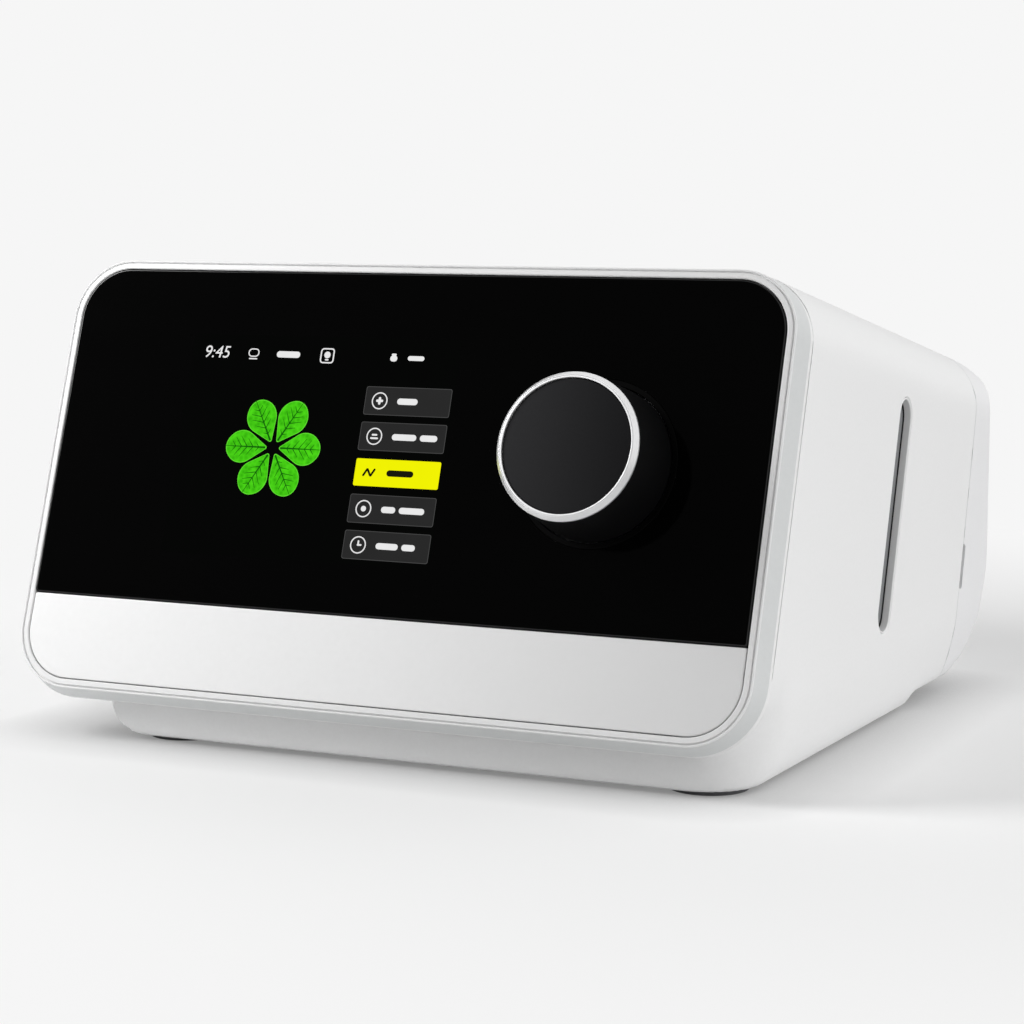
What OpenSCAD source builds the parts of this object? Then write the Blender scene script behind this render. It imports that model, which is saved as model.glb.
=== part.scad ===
// Bedside airway-pressure machine with a leaning glass front, a push-and-turn knob, a side air outlet
// and a rear air filter. Millimetres. The origin is the middle of the bounding box, at the feet.
// +X is to the right of a person who faces the front, +Y goes to the rear, and +Z goes up.

/* [Body] */
// Width of the body and of the front bezel
body_w = 188; // [180:1:200]
// Depth from the lower edge of the front panel to the rear face
body_d = 188; // [182:1:204]
// Wall of the case mouldings
wall = 2.5; // [2:0.1:3]
// Backward lean of the front face, in degrees
face_lean = 18.2; // [16:0.1:20]
// Backward lean of the seam in front of the rear cover, in degrees
seam_lean = 15.6; // [14:0.1:17]
// Distance from the rear face to the seam, at the height of the front panel's lower edge
seam_back = 41; // [38:1:44]
// Fall of the top towards the rear, in degrees
top_fall = 10; // [8:0.5:11]
// Radius of the long edges between the top and the sides
edge_r = 16.3; // [14:0.1:19]
// Radius of the long edge under the left side
dock_edge_r = 16.8; // [14:0.1:19]
// Radius between the top and the rear face
top_rear_r = 19; // [16:0.5:21]
// Height of the heel that slants from the rear face down to the underside
heel_h = 35.7; // [30:0.1:38]
// Lean of the heel from the upright, in degrees
heel_lean = 35.1; // [30:0.1:38]
// Radius between the rear face and the heel
heel_high_r = 35; // [20:1:36]
// Radius between the heel and the underside
heel_low_r = 24; // [16:1:26]
// Radius of the upright corners at the rear
rear_corner_r = 13; // [8:1:15]

/* [Base] */
// Height of the feet under the base
foot_h = 2; // [1.5:0.1:3]
// Radius of a foot
foot_r = 9; // [7:0.5:9]
// Height of the front panel's lower edge above the underside of the base
panel_lift = 12.3; // [11:0.1:14]
// Height of the base's foot band under the body's underside
band_h = 3.5; // [3:0.1:4.5]
// Distance from the body's left side to the base, which leaves room for a docked humidifier
dock_in = 24; // [20:1:26]
// Inward slant of the base's left side, from its top to its bottom
dock_taper = 3; // [1:0.5:4]
// Distance from the body's right side to the base's foot band
band_in = 5.6; // [4:0.1:6]
// Distance from the panel's lower edge back to the front of the base
base_setback = 5.6; // [5:0.1:7]
// Length of the base's foot band, from its front
band_len = 118; // [112:1:124]
// Radius of the base's front right corner
base_corner_r = 11; // [8:1:13]
// Radius of the base's left lower edge
base_edge_r = 9.5; // [7:0.5:10]

/* [Front] */
// Height of the front insert, from its lower edge to the top of the glass
insert_h = 99.5; // [97:0.5:103]
// Height of the plain panel under the glass
panel_h = 19.8; // [17:0.1:23]
// Radius of the insert's corners
insert_r = 12; // [9:0.1:14]
// Width of the bezel beside the insert
border_side = 4.3; // [3.8:0.1:5]
// Width of the bezel over the insert
border_top = 3; // [2.6:0.1:4]
// Width of the bezel under the insert
border_low = 3.9; // [3.4:0.1:5]
// Width of the bezel's flat lip round the insert
lip_w = 2.3; // [1.6:0.1:2.5]
// Depth of the bezel
bezel_depth = 4.6; // [4:0.1:5.5]
// Thickness of the glass and of the plain panel
glass_t = 2; // [1.6:0.1:2.4]
// Width of the ledge that the insert rests on
ledge_w = 3; // [2:0.5:4]

/* [Display] */
// Width of the display's picture
lcd_w = 70.1; // [66:0.1:76]
// Height of the display's picture
lcd_h = 52.6; // [49:0.1:55]
// Distance of the picture's middle to the left of the body's middle
lcd_left = 21.9; // [19:0.1:26]
// Height of the picture's middle above the insert's lower edge
lcd_up = 57.8; // [56:0.1:60]
// Rim of the display module round the picture
lcd_rim = 3; // [2:0.5:4]
// Thickness of the display module
lcd_t = 3.6; // [3:0.1:4.5]
// Thickness of a circuit board
board_t = 1.6; // [1.2:0.1:2]

/* [Knob] */
// Radius of the bright ring
knob_r = 16.4; // [15:0.1:17]
// Radius of the knob's skirt at the glass
skirt_r = 17.4; // [17.1:0.1:17.8]
// Height of the knob above the glass
knob_h = 17.1; // [15:0.1:20]
// Distance from the body's right side to the knob's middle
knob_in = 44.1; // [42:0.1:48]
// Height of the knob's middle above the insert's lower edge
knob_up = 57.4; // [54:0.1:61]
// Radius of the collar round the knob
collar_r = 19; // [18.6:0.1:20]
// Width of the bright ring's face
ring_w = 1; // [0.8:0.1:1.6]
// Length of the bright ring
ring_len = 3; // [2:0.1:5]
// Thickness of the knob's cap
cap_t = 1.5; // [1.2:0.1:2]
// Depth of the knob's cap below the bright ring
cap_sink = 0.5; // [0.3:0.1:0.8]
// Radius of the encoder's shaft
shaft_r = 3; // [2.5:0.1:3.5]
// Travel of the knob when it is pressed
knob_travel = 0.8; // [0.5:0.1:1]

/* [Start button] */
// Radius of the start button on the top
button_r = 8; // [6:0.5:9]
// Distance from the body's right side to the start button's middle
button_in = 44; // [40:1:56]
// Distance from the top front edge back to the start button's middle
button_back = 20; // [18:1:24]
// Travel of the start button
button_travel = 0.8; // [0.5:0.1:1]

/* [Side slot] */
// Length of the slot in the right side, end to end
slot_len = 57; // [50:0.5:62]
// Width of the slot
slot_w = 9.7; // [8:0.1:10]
// Depth of the slot's floor below the side
slot_sink = 1.6; // [1:0.1:1.8]
// Width of the groove round the slot's floor
groove_w = 0.5; // [0.4:0.1:0.8]
// Backward lean of the slot, in degrees
slot_lean = 17.3; // [15:0.1:19]
// Distance from the panel's lower edge back to the slot's middle
slot_back = 94.4; // [90:0.1:97]
// Height of the slot's middle above the panel's lower edge, as a share of the insert's height
slot_rise = 0.379; // [0.36:0.001:0.4]

/* [Air path] */
// Outer radius of the air outlet, for a standard 22 mm hose cuff
port_r = 11;
// Radius of the outlet's airway
airway_r = 9; // [8:0.1:9.4]
// Length of the air outlet beyond the left side
port_out = 20; // [16:1:24]
// Distance from the rear face to the air outlet
port_back = 60; // [58:1:64]
// Height of the air outlet above the surface that the machine stands on
port_up = 46; // [45:0.5:48]
// Radius of the impeller
impeller_r = 27; // [24:0.5:28]
// Height of the impeller's blades
blade_h = 9; // [7:0.5:11]
// Number of blades
blade_count = 11; // [7:1:13]
// Radial room between the impeller and the blower's wall
scroll_gap = 6; // [5:0.5:7]
// Wall of the blower and of the air ducts
duct_wall = 2; // [1.6:0.1:2.4]
// Radius of the blower's inlet
inlet_r = 11; // [9:0.5:12]
// Radius of the blower's motor
motor_r = 20; // [18:0.5:22]
// Height of the blower's motor
motor_h = 18; // [16:0.5:20]
// Radius of the motor's shaft
spindle_r = 1.5; // [1.5:0.1:2]
// Width of the air duct over the blower
duct_w = 76; // [70:1:80]

/* [Rear] */
// Width of the filter cover
filter_w = 78; // [70:1:82]
// Height of the filter cover
filter_h = 24; // [20:1:25]
// Distance of the filter cover to the right of the body's middle
filter_right = 18; // [14:1:20]
// Thickness of the air filter
filter_t = 8; // [6:0.5:9]
// Number of air slits in the filter cover
slit_count = 4; // [3:1:5]
// Width of an air slit
slit_w = 2; // [1.6:0.1:2.4]
// Distance of the power socket to the left of the body's middle
socket_left = 54; // [50:1:60]
// Radius of the power socket's hole, for a 5.5 mm barrel plug
socket_r = 2.9; // [2.8:0.05:3.2]
// Depth of the power socket's hole
socket_deep = 9.5; // [8:0.5:11]

/* [Memory card] */
// Width of the memory card
card_w = 24; // [23:0.5:25]
// Length of the memory card
card_len = 32; // [31:0.5:33]
// Thickness of the memory card
card_t = 2.1; // [2:0.1:2.4]
// Distance from the panel's lower edge back to the memory card's middle
card_back = 62; // [58:1:66]
// Height of the memory card above the surface that the machine stands on
card_up = 50; // [46:1:54]

/* [Fits] */
// Gap round pieces that are set into one another
seat_gap = 0.2; // [0.1:0.05:0.3]
// Gap round pieces that move past one another
move_gap = 0.35; // [0.3:0.05:0.5]
// Radial gap of a turning shaft in its bearing
run_gap = 0.05; // [0.02:0.01:0.1]

/* [Hidden] */

shell_white = [0.90, 0.90, 0.90];
cover_white = [0.87, 0.88, 0.88];
bezel_grey = [0.80, 0.82, 0.82];
slot_grey = [0.58, 0.59, 0.60];
glass_black = [0.02, 0.02, 0.02];
cap_dark = [0.16, 0.16, 0.17];
rubber_dark = [0.12, 0.12, 0.12];
board_green = [0.06, 0.28, 0.14];
moulding_grey = [0.55, 0.56, 0.57];
steel = [0.62, 0.63, 0.65];
copper = [0.60, 0.35, 0.18];
foam_grey = [0.30, 0.31, 0.33];

// Longer than anything here, for cutting, and the step of the polygons' arcs in degrees
big = 400;
arc_step = 6;

// Heights above the surface that the machine stands on
base_z = foot_h;
floor_z = base_z + wall;
belly_z = base_z + band_h;
panel_z = base_z + panel_lift;
split_z = panel_z - border_low * cos(face_lean);

// The body's middle plane is x = 0 and the panel's lower edge is y = 0; the bezel's back plane meets the top
half_w = body_w / 2;
inner_w = half_w - wall;
knob_right = half_w - knob_in;
button_right = half_w - button_in;
dock_x = -half_w + dock_in;
band_x = half_w - band_in;
rear_y = body_d;
top_front_y = (insert_h + border_top) * sin(face_lean) + bezel_depth * cos(face_lean);
top_front_z = panel_z + (insert_h + border_top) * cos(face_lean) - bezel_depth * sin(face_lean);
rear_top_z = top_front_z - (rear_y - top_front_y) * tan(top_fall);
heel_y = rear_y - heel_h * tan(heel_lean);
flare_h = 7;
flare_r = 6;

// Notch on the seam, measured along the seam from the height of the panel's lower edge
notch_z = 13.5;
notch_len = 11.5;
notch_w = 2.2;
notch_deep = 1.6;

// Bounding box, which places the origin
knob_front_y = (knob_up - knob_r) * sin(face_lean) - knob_h * cos(face_lean);
front_y = min(knob_front_y, -border_low * sin(face_lean));
centre_x = -port_out / 2;
centre_y = (front_y + rear_y) / 2;

// Front insert and what lies behind it, as depths behind the glass
insert_w = body_w - 2 * border_side;
rim_t = 2;
rim_w = 6;
chassis_t = 1.8;
chassis_z = -bezel_depth - rim_t - chassis_t;
chassis_edge = wall + 1;
encoder_w = 12;
encoder_t = 6.4;
bush_r = shaft_r + 1.2;
front_board_z = chassis_z - encoder_t - board_t;
front_board_w = 140;
front_board_h = 66;
standoff_r = 2.5;
ribbon_w = 40;
ribbon_h = 12;
encoder_base = 2.9;
shaft_low_z = front_board_z + board_t + encoder_base;
plunger_r = 1.6;
plunger_h = 1.9;
stop_gap = 0.2;

// Knob, from the glass outwards
well_r = skirt_r + move_gap;
well_floor_z = -glass_t;
collar_t = 1;
skirt_low_z = well_floor_z + knob_travel + move_gap;
ring_z = knob_h - ring_len;
core_r = knob_r - ring_w - seat_gap;
core_top_z = knob_h - cap_sink - cap_t;
shaft_in = 5;
shaft_top_z = core_top_z - shaft_in;
knob_wall = 1.8;
roof_t = 2;
skirt_straight = 1;
hub_wall = 3;

// Side slot's insert
slot_up = slot_rise * insert_h;
slot_rim = 0.4;
slot_flange = 1.2;
slot_over = 1.5;
slot_seat = 8;

// Start button, from the top surface inwards
button_flange = 1.5;
button_low_z = -wall - move_gap - button_flange;
stem_len = 4;
switch_w = 6;
switch_h = 3.6;
switch_board_z = button_low_z - stem_len - switch_h - board_t;
switch_board_h = 14;
switch_post_r = 2.2;
switch_post_in = 3;
stem_r = 2;
button_over = 1.5;
switch_board_w = 2 * (button_r + button_over + move_gap + switch_post_r + switch_post_in);

// Rear face: the flat band between its two radii holds the power socket and the middle of the filter cover
flat_low_z = belly_z + heel_h + heel_high_r * tan(heel_lean / 2);
flat_high_z = rear_top_z - top_rear_r * tan((90 - top_fall) / 2);
rear_mid_z = (flat_low_z + flat_high_z) / 2;
pocket_wall = 1.6;
pocket_stop = 1.6;
filter_in = 1.2;
filter_y = rear_y - wall - filter_in;
pocket_y = filter_y - filter_t - seat_gap - pocket_stop;
frame_w = 3;
slit_end = 6;
arm_t = 1.4;
arm_h = 12;
socket_wall = 2.6;
socket_neck = 3;
socket_body_w = 16;
socket_pin_r = 1;

// Blower, whose outlet leaves as a tangent to the left
port_y = rear_y - port_back;
scroll_r = impeller_r + scroll_gap;
blower_x = 12;
blower_y = port_y - (scroll_r - airway_r);
scroll_z = port_up - airway_r;
scroll_h = 2 * airway_r;
blower_z = scroll_z - duct_wall;
lid_z = scroll_z + scroll_h;
neck_h = 6;
disc_t = 1.5;
impeller_z = scroll_z + (scroll_h - blade_h - 2 * disc_t) / 2;
hub_r = 6;
blade_t = 1;
blade_sweep = 32;
ear_r = 5;
ear_t = 3;
ear_angles = [40, 220, 310];
ear_reach = scroll_r + duct_wall + ear_r - 1;
grommet_h = 6;
post_r = 4;
blower_screw_len = 8;
pilot_spare = 4;
screw_r = 1.4;
screw_hole_r = screw_r + seat_gap;
head_r = 2.8;
head_h = 2;
can_wall = 1.5;
can_z = blower_z - motor_h;
bearing_r = 4;
bearing_h = 3;
bearing_wall = 2;
stator_in_r = motor_r - can_wall - seat_gap - 7;
rotor_r = stator_in_r - 0.5;
stator_slot_r = 1.8;
core_up = 5;
core_low_z = can_z + core_up;
core_h = motor_h - core_up - bearing_h;
spindle_low_z = can_z + can_wall + 0.4;

// Outlet
spigot_len = 14;
pipe_gap = 24;
spigot_x = -inner_w + spigot_len;
pipe_end_x = spigot_x + pipe_gap;
sleeve_grip = 8;
sleeve_t = 1.5;
rib_t = 2;
rib_out = 2;
rib_in = 4;
rib_pitch = 5;
pipe_r = airway_r + duct_wall;
flange_t = 2;
flange_over = 4;
port_shoulder = 0.8;
sensor_in = 4;
sensor_len = 16;
sensor_w = 12;

// Air duct from the filter to the blower
duct_gap = 0.3;
duct_back_y = pocket_y - duct_gap;
duct_front_y = blower_y - scroll_r + duct_wall;
duct_leg = 22;
duct_under = 4;
duct_z = lid_z + neck_h;
duct_top_z = top_front_z - (duct_back_y - top_front_y) * tan(top_fall) - wall - duct_under;
duct_low_z = rear_mid_z - filter_h / 2;
foam_t = 0.35 * (duct_top_z - duct_z - 2 * duct_wall);

// Base: the posts of the case screws and the feet keep to the corners of the foot band
base_front_y = base_setback;
band_end_y = base_front_y + band_len;
case_post_r = 4;
post_in = [11, 8.5];
post_back = [30, 33];
case_post_x = [dock_x + post_in[0], band_x - post_in[1]];
case_post_y = [base_front_y + post_back[0], band_end_y - post_back[1]];
case_screw_len = 11;
head_sink = 0.5;
web_t = 3;
foot_in = [6.5, 2];
foot_back = [2.5, 8];
foot_x = [dock_x + foot_r + foot_in[0], band_x - foot_r - foot_in[1]];
foot_y = [base_front_y + foot_r + foot_back[0], band_end_y - foot_r - foot_back[1]];
foot_sink = 0.8;

// Main board on its posts
board_up = 5.5;
board_in = [14, 18];
board_back = [6, 50];
board_z = floor_z + board_up;
board_x = [dock_x + wall + board_in[0], band_x - wall - board_in[1]];
board_y = [base_front_y + wall + board_back[0], base_front_y + wall + board_back[1]];
board_inset = 5;
board_post_r = 3;
// Blocks [x, y, width, length, height] on the main board, from its front left corner
board_parts = [[8, 8, 14, 14, 2], [30, 24, 18, 12, 8], [56, 6, 12, 30, 9], [78, 20, 10, 10, 3],
    [96, 8, 12, 20, 7]];

// Speaker on the base's floor
speaker_r = 11;
speaker_h = 5;
speaker_in = 2;
speaker_back = 3;
sound_ring_r = 5;
sound_hole_r = 1;
speaker_x = band_x - wall - speaker_r - speaker_in;
speaker_y = board_y[1] + speaker_r + speaker_back;

// The front board's corners, in the face's frame
front_board_x = [-front_board_w / 2, front_board_w / 2];
front_board_top = insert_h - 8;
front_board_y = [front_board_top - front_board_h, front_board_top];
standoff_in = 4;

function span(middle, width) = [middle - width / 2, middle + width / 2];

function arc(centre, r, from, to) =
    let(steps = max(2, ceil(abs(to - from) / arc_step)))
    [for (i = [0:steps]) let(a = from + (to - from) * i / steps) centre + r * [cos(a), sin(a)]];

// The rounding of one polygon corner, between the corners before and after it
function corner(before, at, after, r) =
    let(
        u = (before - at) / norm(before - at),
        v = (after - at) / norm(after - at),
        half = acos(u * v) / 2,
        middle = at + (u + v) / norm(u + v) * (r / sin(half)),
        start = at + u * (r / tan(half)) - middle,
        end = at + v * (r / tan(half)) - middle,
        from = atan2(start[1], start[0]),
        turn = atan2(end[1], end[0]) - from,
        short_turn = turn > 180 ? turn - 360 : turn < -180 ? turn + 360 : turn
    )
    r > 0 ? arc(middle, r, from, from + short_turn) : [at];

// Polygon with each corner [x, y, radius] rounded
function rounded(corners) =
    let(n = len(corners), p = [for (c = corners) [c[0], c[1]]])
    [for (i = [0:n - 1]) each corner(p[(i + n - 1) % n], p[i], p[(i + 1) % n], corners[i][2])];

function rounded_box(w, low, high, r) =
    rounded([[-w / 2, low, r], [w / 2, low, r], [w / 2, high, r], [-w / 2, high, r]]);

// From the body's frame to the origin in the middle of the bounding box
module place() {
    translate([-centre_x, -centre_y, 0]) children();
}

// The face's frame: x to the right, y up the face from the panel's lower edge, z out of the glass
module on_face(x = 0, y = 0, z = 0) {
    translate([0, 0, panel_z]) rotate([90 - face_lean, 0, 0]) translate([x, y, z]) children();
}

module on_knob(z = 0) {
    on_face(knob_right, knob_up, z) children();
}

// The top's frame: x to the right, y back along the top from its front edge, z out of the top
module on_top(x = 0, y = 0, z = 0) {
    translate([0, top_front_y, top_front_z]) rotate([-top_fall, 0, 0]) translate([x, y, z]) children();
}

// The side slot's frame: y up along the slot, z out of the right side
module on_slot(depth = 0) {
    translate([half_w - depth, slot_back, panel_z + slot_up]) rotate([-slot_lean, 0, 0])
        rotate([90, 0, 90]) children();
}

// Profiles drawn in the side view (y, z) or in the front view (x, z)
module across(x0, x1) {
    translate([x0, 0, 0]) rotate([90, 0, 90]) linear_extrude(x1 - x0) children();
}

module along(y0, y1) {
    translate([0, y1, 0]) rotate([90, 0, 0]) linear_extrude(y1 - y0) children();
}

module rod(x, y, z, r, h) {
    translate([x, y, z]) cylinder(r = r, h = h, $fn = 64);
}

module rod_x(x0, x1, y, z, r) {
    translate([x0, y, z]) rotate([0, 90, 0]) cylinder(r = r, h = x1 - x0, $fn = 64);
}

module block(x, y, z) {
    translate([x[0], y[0], z[0]]) cube([x[1] - x[0], y[1] - y[0], z[1] - z[0]]);
}

module stadium(len, w, t) {
    translate([-w / 2, -(len - w) / 2, 0]) cube([w, len - w, t]);
    for (s = [-1, 1]) translate([0, s * (len - w) / 2, 0]) cylinder(r = w / 2, h = t, $fn = 48);
}

// The body seen from the side, with the foot band under its front part
side_outline = rounded([
    [-big / 4, base_z, 0],
    [band_end_y, base_z, 0],
    [band_end_y, belly_z, 0],
    [heel_y, belly_z, heel_low_r],
    [rear_y, belly_z + heel_h, heel_high_r],
    [rear_y, rear_top_z, top_rear_r],
    [-big / 4, top_front_z + (top_front_y + big / 4) * tan(top_fall), 0]]);

// The body seen from the front, with the room for a docked humidifier under its left side
front_outline = rounded([
    [-half_w, big / 2, 0],
    [-half_w, split_z, dock_edge_r],
    [dock_x, split_z, 0],
    [dock_x + dock_taper, base_z, base_edge_r],
    [band_x, base_z, 0],
    [band_x, belly_z + 1, 1.5],
    [half_w, belly_z + flare_h, flare_r],
    [half_w, big / 2, 0]]);

plan_outline = rounded([
    [-half_w, -big / 4, 0],
    [half_w, -big / 4, 0],
    [half_w, rear_y, rear_corner_r],
    [-half_w, rear_y, rear_corner_r]]);

top_outline = rounded([[-half_w, -big, 0], [half_w, -big, 0], [half_w, 0, edge_r], [-half_w, 0, edge_r]]);

// In front of the base the body follows the bezel's round corners
nose_outline = rounded([
    [-half_w, split_z, dock_edge_r],
    [half_w, split_z, dock_edge_r],
    [half_w, big / 2, 0],
    [-half_w, big / 2, 0]]);

base_outline = rounded([
    [dock_x, base_front_y, 3],
    [half_w, base_front_y, base_corner_r + band_in],
    [half_w, big, 0],
    [dock_x, big, 0]]);

band_outline = rounded([
    [-half_w, base_front_y, 0],
    [band_x, base_front_y, base_corner_r],
    [band_x, big, 0],
    [-half_w, big, 0]]);

// Outer form of the body, or the same form drawn in by inset
module body_form(inset = 0) {
    intersection() {
        across(-half_w, half_w) offset(delta = -inset) polygon(side_outline);
        along(-big / 4, big) offset(delta = -inset) polygon(front_outline);
        linear_extrude(big) offset(delta = -inset) polygon(plan_outline);
        on_top() along(-big / 2, big) offset(delta = -inset) polygon(top_outline);
        union() {
            along(-big / 4, big) offset(delta = -inset) polygon(nose_outline);
            linear_extrude(big) offset(delta = -inset) polygon(base_outline);
        }
        union() {
            linear_extrude(big) offset(delta = -inset) polygon(band_outline);
            translate([-big / 2, -big / 2, belly_z + 1 + inset]) cube(big);
        }
    }
}

module body_shell() {
    difference() {
        body_form();
        body_form(wall);
    }
}

// Half spaces and slabs that cut the body
module behind_seam(back = 0, deep = big) {
    translate([0, rear_y - seam_back + back, panel_z]) rotate([-seam_lean, 0, 0])
        translate([-big / 2, 0, -big / 2]) cube([big, deep, big]);
}

module under(z) {
    translate([-big / 2, -big / 2, z - big]) cube(big);
}

module face_slab(depth, t) {
    on_face(-big / 2, -big / 2, -depth - t) cube([big, big, t]);
}

module bezel_plate(inset, t) {
    linear_extrude(t) polygon(rounded([
        [-half_w + inset, -border_low + inset, edge_r - inset],
        [half_w - inset, -border_low + inset, edge_r - inset],
        [half_w - inset, insert_h + border_top - inset, edge_r - inset],
        [-half_w + inset, insert_h + border_top - inset, edge_r - inset]]));
}

module insert_plate(grow, t) {
    linear_extrude(t) polygon(rounded_box(insert_w + 2 * grow, -grow, insert_h + grow, insert_r + grow));
}

module at_ears(z) {
    for (a = ear_angles)
        translate([blower_x + ear_reach * cos(a), blower_y + ear_reach * sin(a), z]) children();
}

module main_housing() {
    color(shell_white) place() difference() {
        union() {
            difference() {
                body_shell();
                under(split_z);
                behind_seam();
            }
            // Rim that the bezel and the chassis are fixed to
            intersection() {
                body_form(wall / 2);
                difference() {
                    face_slab(bezel_depth, rim_t);
                    on_face(0, 0, -bezel_depth - rim_t - 1) bezel_plate(rim_w, rim_t + 2);
                    under(split_z);
                }
            }
            // Posts for the case screws, each with a web to the wall beside it
            for (x = case_post_x, y = case_post_y) {
                rod(x, y, split_z, case_post_r, case_screw_len);
                block(x > 0 ? [x, inner_w + wall / 2] : [dock_x, x], span(y, web_t),
                    [x > 0 ? split_z + web_t : split_z, split_z + (x > 0 ? case_screw_len : wall)]);
            }
            // Posts that carry the start button's board
            for (s = [-1, 1]) on_top(button_right + s * (switch_board_w / 2 - switch_post_in), button_back)
                rod(0, 0, switch_board_z + board_t, switch_post_r, -switch_board_z - board_t - wall / 2);
        }
        on_face(-big / 2, -big / 2, -bezel_depth) cube(big);
        for (x = case_post_x, y = case_post_y) rod(x, y, split_z - 1, screw_r, case_screw_len - 2);
        on_slot(wall + 1) stadium(slot_len, slot_w, wall + 2);
        // Seat of the slot insert's flange, which keeps the webs clear of it
        on_slot(wall + slot_seat) stadium(slot_len + 2 * (slot_over + seat_gap),
            slot_w + 2 * (slot_over + seat_gap), slot_seat);
        on_top(button_right, button_back) rod(0, 0, -wall - 1, button_r + move_gap, wall + 2);
        rod_x(-half_w - 1, -inner_w + 1, port_y, port_up, port_r + port_shoulder + seat_gap);
        block([-half_w - 1, -inner_w + 1], span(card_back, card_w + 2 * move_gap),
            span(card_up, card_t + 2 * move_gap));
    }
}

module base_tray() {
    color(shell_white) place() difference() {
        union() {
            intersection() {
                difference() {
                    body_shell();
                    behind_seam();
                }
                under(split_z);
            }
            intersection() {
                body_form(wall / 2);
                union() {
                    for (x = case_post_x, y = case_post_y) rod(x, y, base_z, case_post_r, split_z - base_z);
                    for (x = [board_x[0] + board_inset, board_x[1] - board_inset],
                        y = [board_y[0] + board_inset, board_y[1] - board_inset])
                        rod(x, y, base_z, board_post_r, board_z - base_z);
                    at_ears(base_z) cylinder(r = post_r, h = blower_z - grommet_h - base_z, $fn = 64);
                }
            }
        }
        for (x = case_post_x, y = case_post_y) {
            rod(x, y, base_z - 1, screw_hole_r, big);
            rod(x, y, base_z - 1, head_r + move_gap, head_h + head_sink + 1);
        }
        for (x = foot_x, y = foot_y) rod(x, y, base_z - 1, foot_r + seat_gap, foot_sink + 1);
        at_ears(blower_z - grommet_h - blower_screw_len - pilot_spare)
            cylinder(r = screw_r, h = big, $fn = 48);
        for (a = [0:60:300]) rod(speaker_x + sound_ring_r * cos(a), speaker_y + sound_ring_r * sin(a),
            base_z - 1, sound_hole_r, wall + 2);
    }
}

module rear_cover() {
    hole_w = filter_w + 2 * move_gap;
    hole_h = filter_h + 2 * move_gap;
    color(cover_white) place() difference() {
        union() {
            intersection() {
                body_shell();
                behind_seam();
            }
            // Tongue that fits inside the housing and the tray
            intersection() {
                difference() {
                    body_form(wall + seat_gap);
                    body_form(wall + seat_gap + 1.5);
                }
                behind_seam(-4, 4 + 0.01);
            }
            intersection() {
                difference() {
                    body_form(wall / 2);
                    body_form(wall + seat_gap + 1.5);
                }
                behind_seam(0, 2);
            }
            intersection() {
                body_form(wall / 2);
                union() {
                    block(span(filter_right, hole_w + 2 * pocket_wall), [pocket_y, rear_y],
                        span(rear_mid_z, hole_h + 2 * pocket_wall));
                    block(span(-socket_left, socket_body_w + 2), [rear_y - wall - socket_neck, rear_y],
                        span(rear_mid_z, socket_body_w + 2));
                }
            }
        }
        block(span(filter_right, hole_w), [pocket_y + pocket_stop, rear_y + 1],
            span(rear_mid_z, hole_h));
        block(span(filter_right, filter_w - 2 * frame_w), [pocket_y - 1, rear_y],
            span(rear_mid_z, filter_h - 2 * frame_w));
        translate([-socket_left, rear_y - wall - socket_neck - 1, rear_mid_z]) rotate([-90, 0, 0])
            cylinder(r = socket_r + socket_wall + seat_gap, h = wall + socket_neck + 2, $fn = 64);
        // Notch on the seam for opening the case
        translate([half_w - notch_deep, rear_y - seam_back, panel_z]) rotate([-seam_lean, 0, 0])
            translate([0, -1, notch_z]) cube([notch_deep + 1, notch_w + 1, notch_len]);
    }
}

module front_bezel() {
    color(bezel_grey) place() on_face() difference() {
        hull() {
            translate([0, 0, -bezel_depth]) bezel_plate(0, 1.2);
            translate([0, 0, -0.05]) insert_plate(lip_w, 0.05);
        }
        translate([0, 0, -glass_t]) insert_plate(seat_gap, glass_t + 1);
        translate([0, 0, -bezel_depth - 1]) insert_plate(-ledge_w, bezel_depth + 2);
    }
}

module display_glass() {
    color(glass_black) place() on_face() difference() {
        translate([0, 0, -glass_t]) insert_plate(0, glass_t);
        translate([-half_w, -1, -glass_t - 1]) cube([body_w, panel_h + seat_gap / 2 + 1, glass_t + 2]);
        rod(knob_right, knob_up, -glass_t - 1, collar_r + seat_gap, glass_t + 2);
    }
}

module lower_panel() {
    color(shell_white) place() on_face() intersection() {
        translate([0, 0, -glass_t]) insert_plate(0, glass_t);
        translate([-half_w, -1, -glass_t - 1]) cube([body_w, panel_h - seat_gap / 2 + 1, glass_t + 2]);
    }
}

module display_module() {
    color(moulding_grey) place() on_face()
        block(span(-lcd_left, lcd_w + 2 * lcd_rim), span(lcd_up, lcd_h + 2 * lcd_rim),
            [-glass_t - lcd_t, -glass_t]);
}

module front_chassis() {
    color(moulding_grey) place() on_face() difference() {
        union() {
            translate([0, 0, chassis_z]) bezel_plate(chassis_edge + 4, chassis_t);
            for (x = front_board_x + standoff_in * [1, -1], y = front_board_y + standoff_in * [1, -1])
                rod(x, y, front_board_z + board_t, standoff_r, chassis_z - front_board_z - board_t + 0.5);
        }
        rod(knob_right, knob_up, chassis_z - 1, bush_r + seat_gap, chassis_t + 2);
        // Window behind the display for its ribbon
        block(span(-lcd_left, ribbon_w), span(lcd_up, ribbon_h), [chassis_z - 1, chassis_z + chassis_t + 1]);
    }
}

module front_board() {
    color(board_green) place() on_face()
        block(front_board_x, front_board_y, [front_board_z, front_board_z + board_t]);
}

module encoder_body() {
    low = front_board_z + board_t;
    color(steel) place() on_knob() difference() {
        union() {
            block(span(0, encoder_w), span(0, encoder_w), [low, low + encoder_t]);
            rod(0, 0, low, bush_r, well_floor_z - collar_t - low);
        }
        rod(0, 0, shaft_low_z - knob_travel - stop_gap, shaft_r + run_gap, big);
        rod(0, 0, shaft_low_z - plunger_h - knob_travel - stop_gap / 2, plunger_r + run_gap, big);
    }
}

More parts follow.
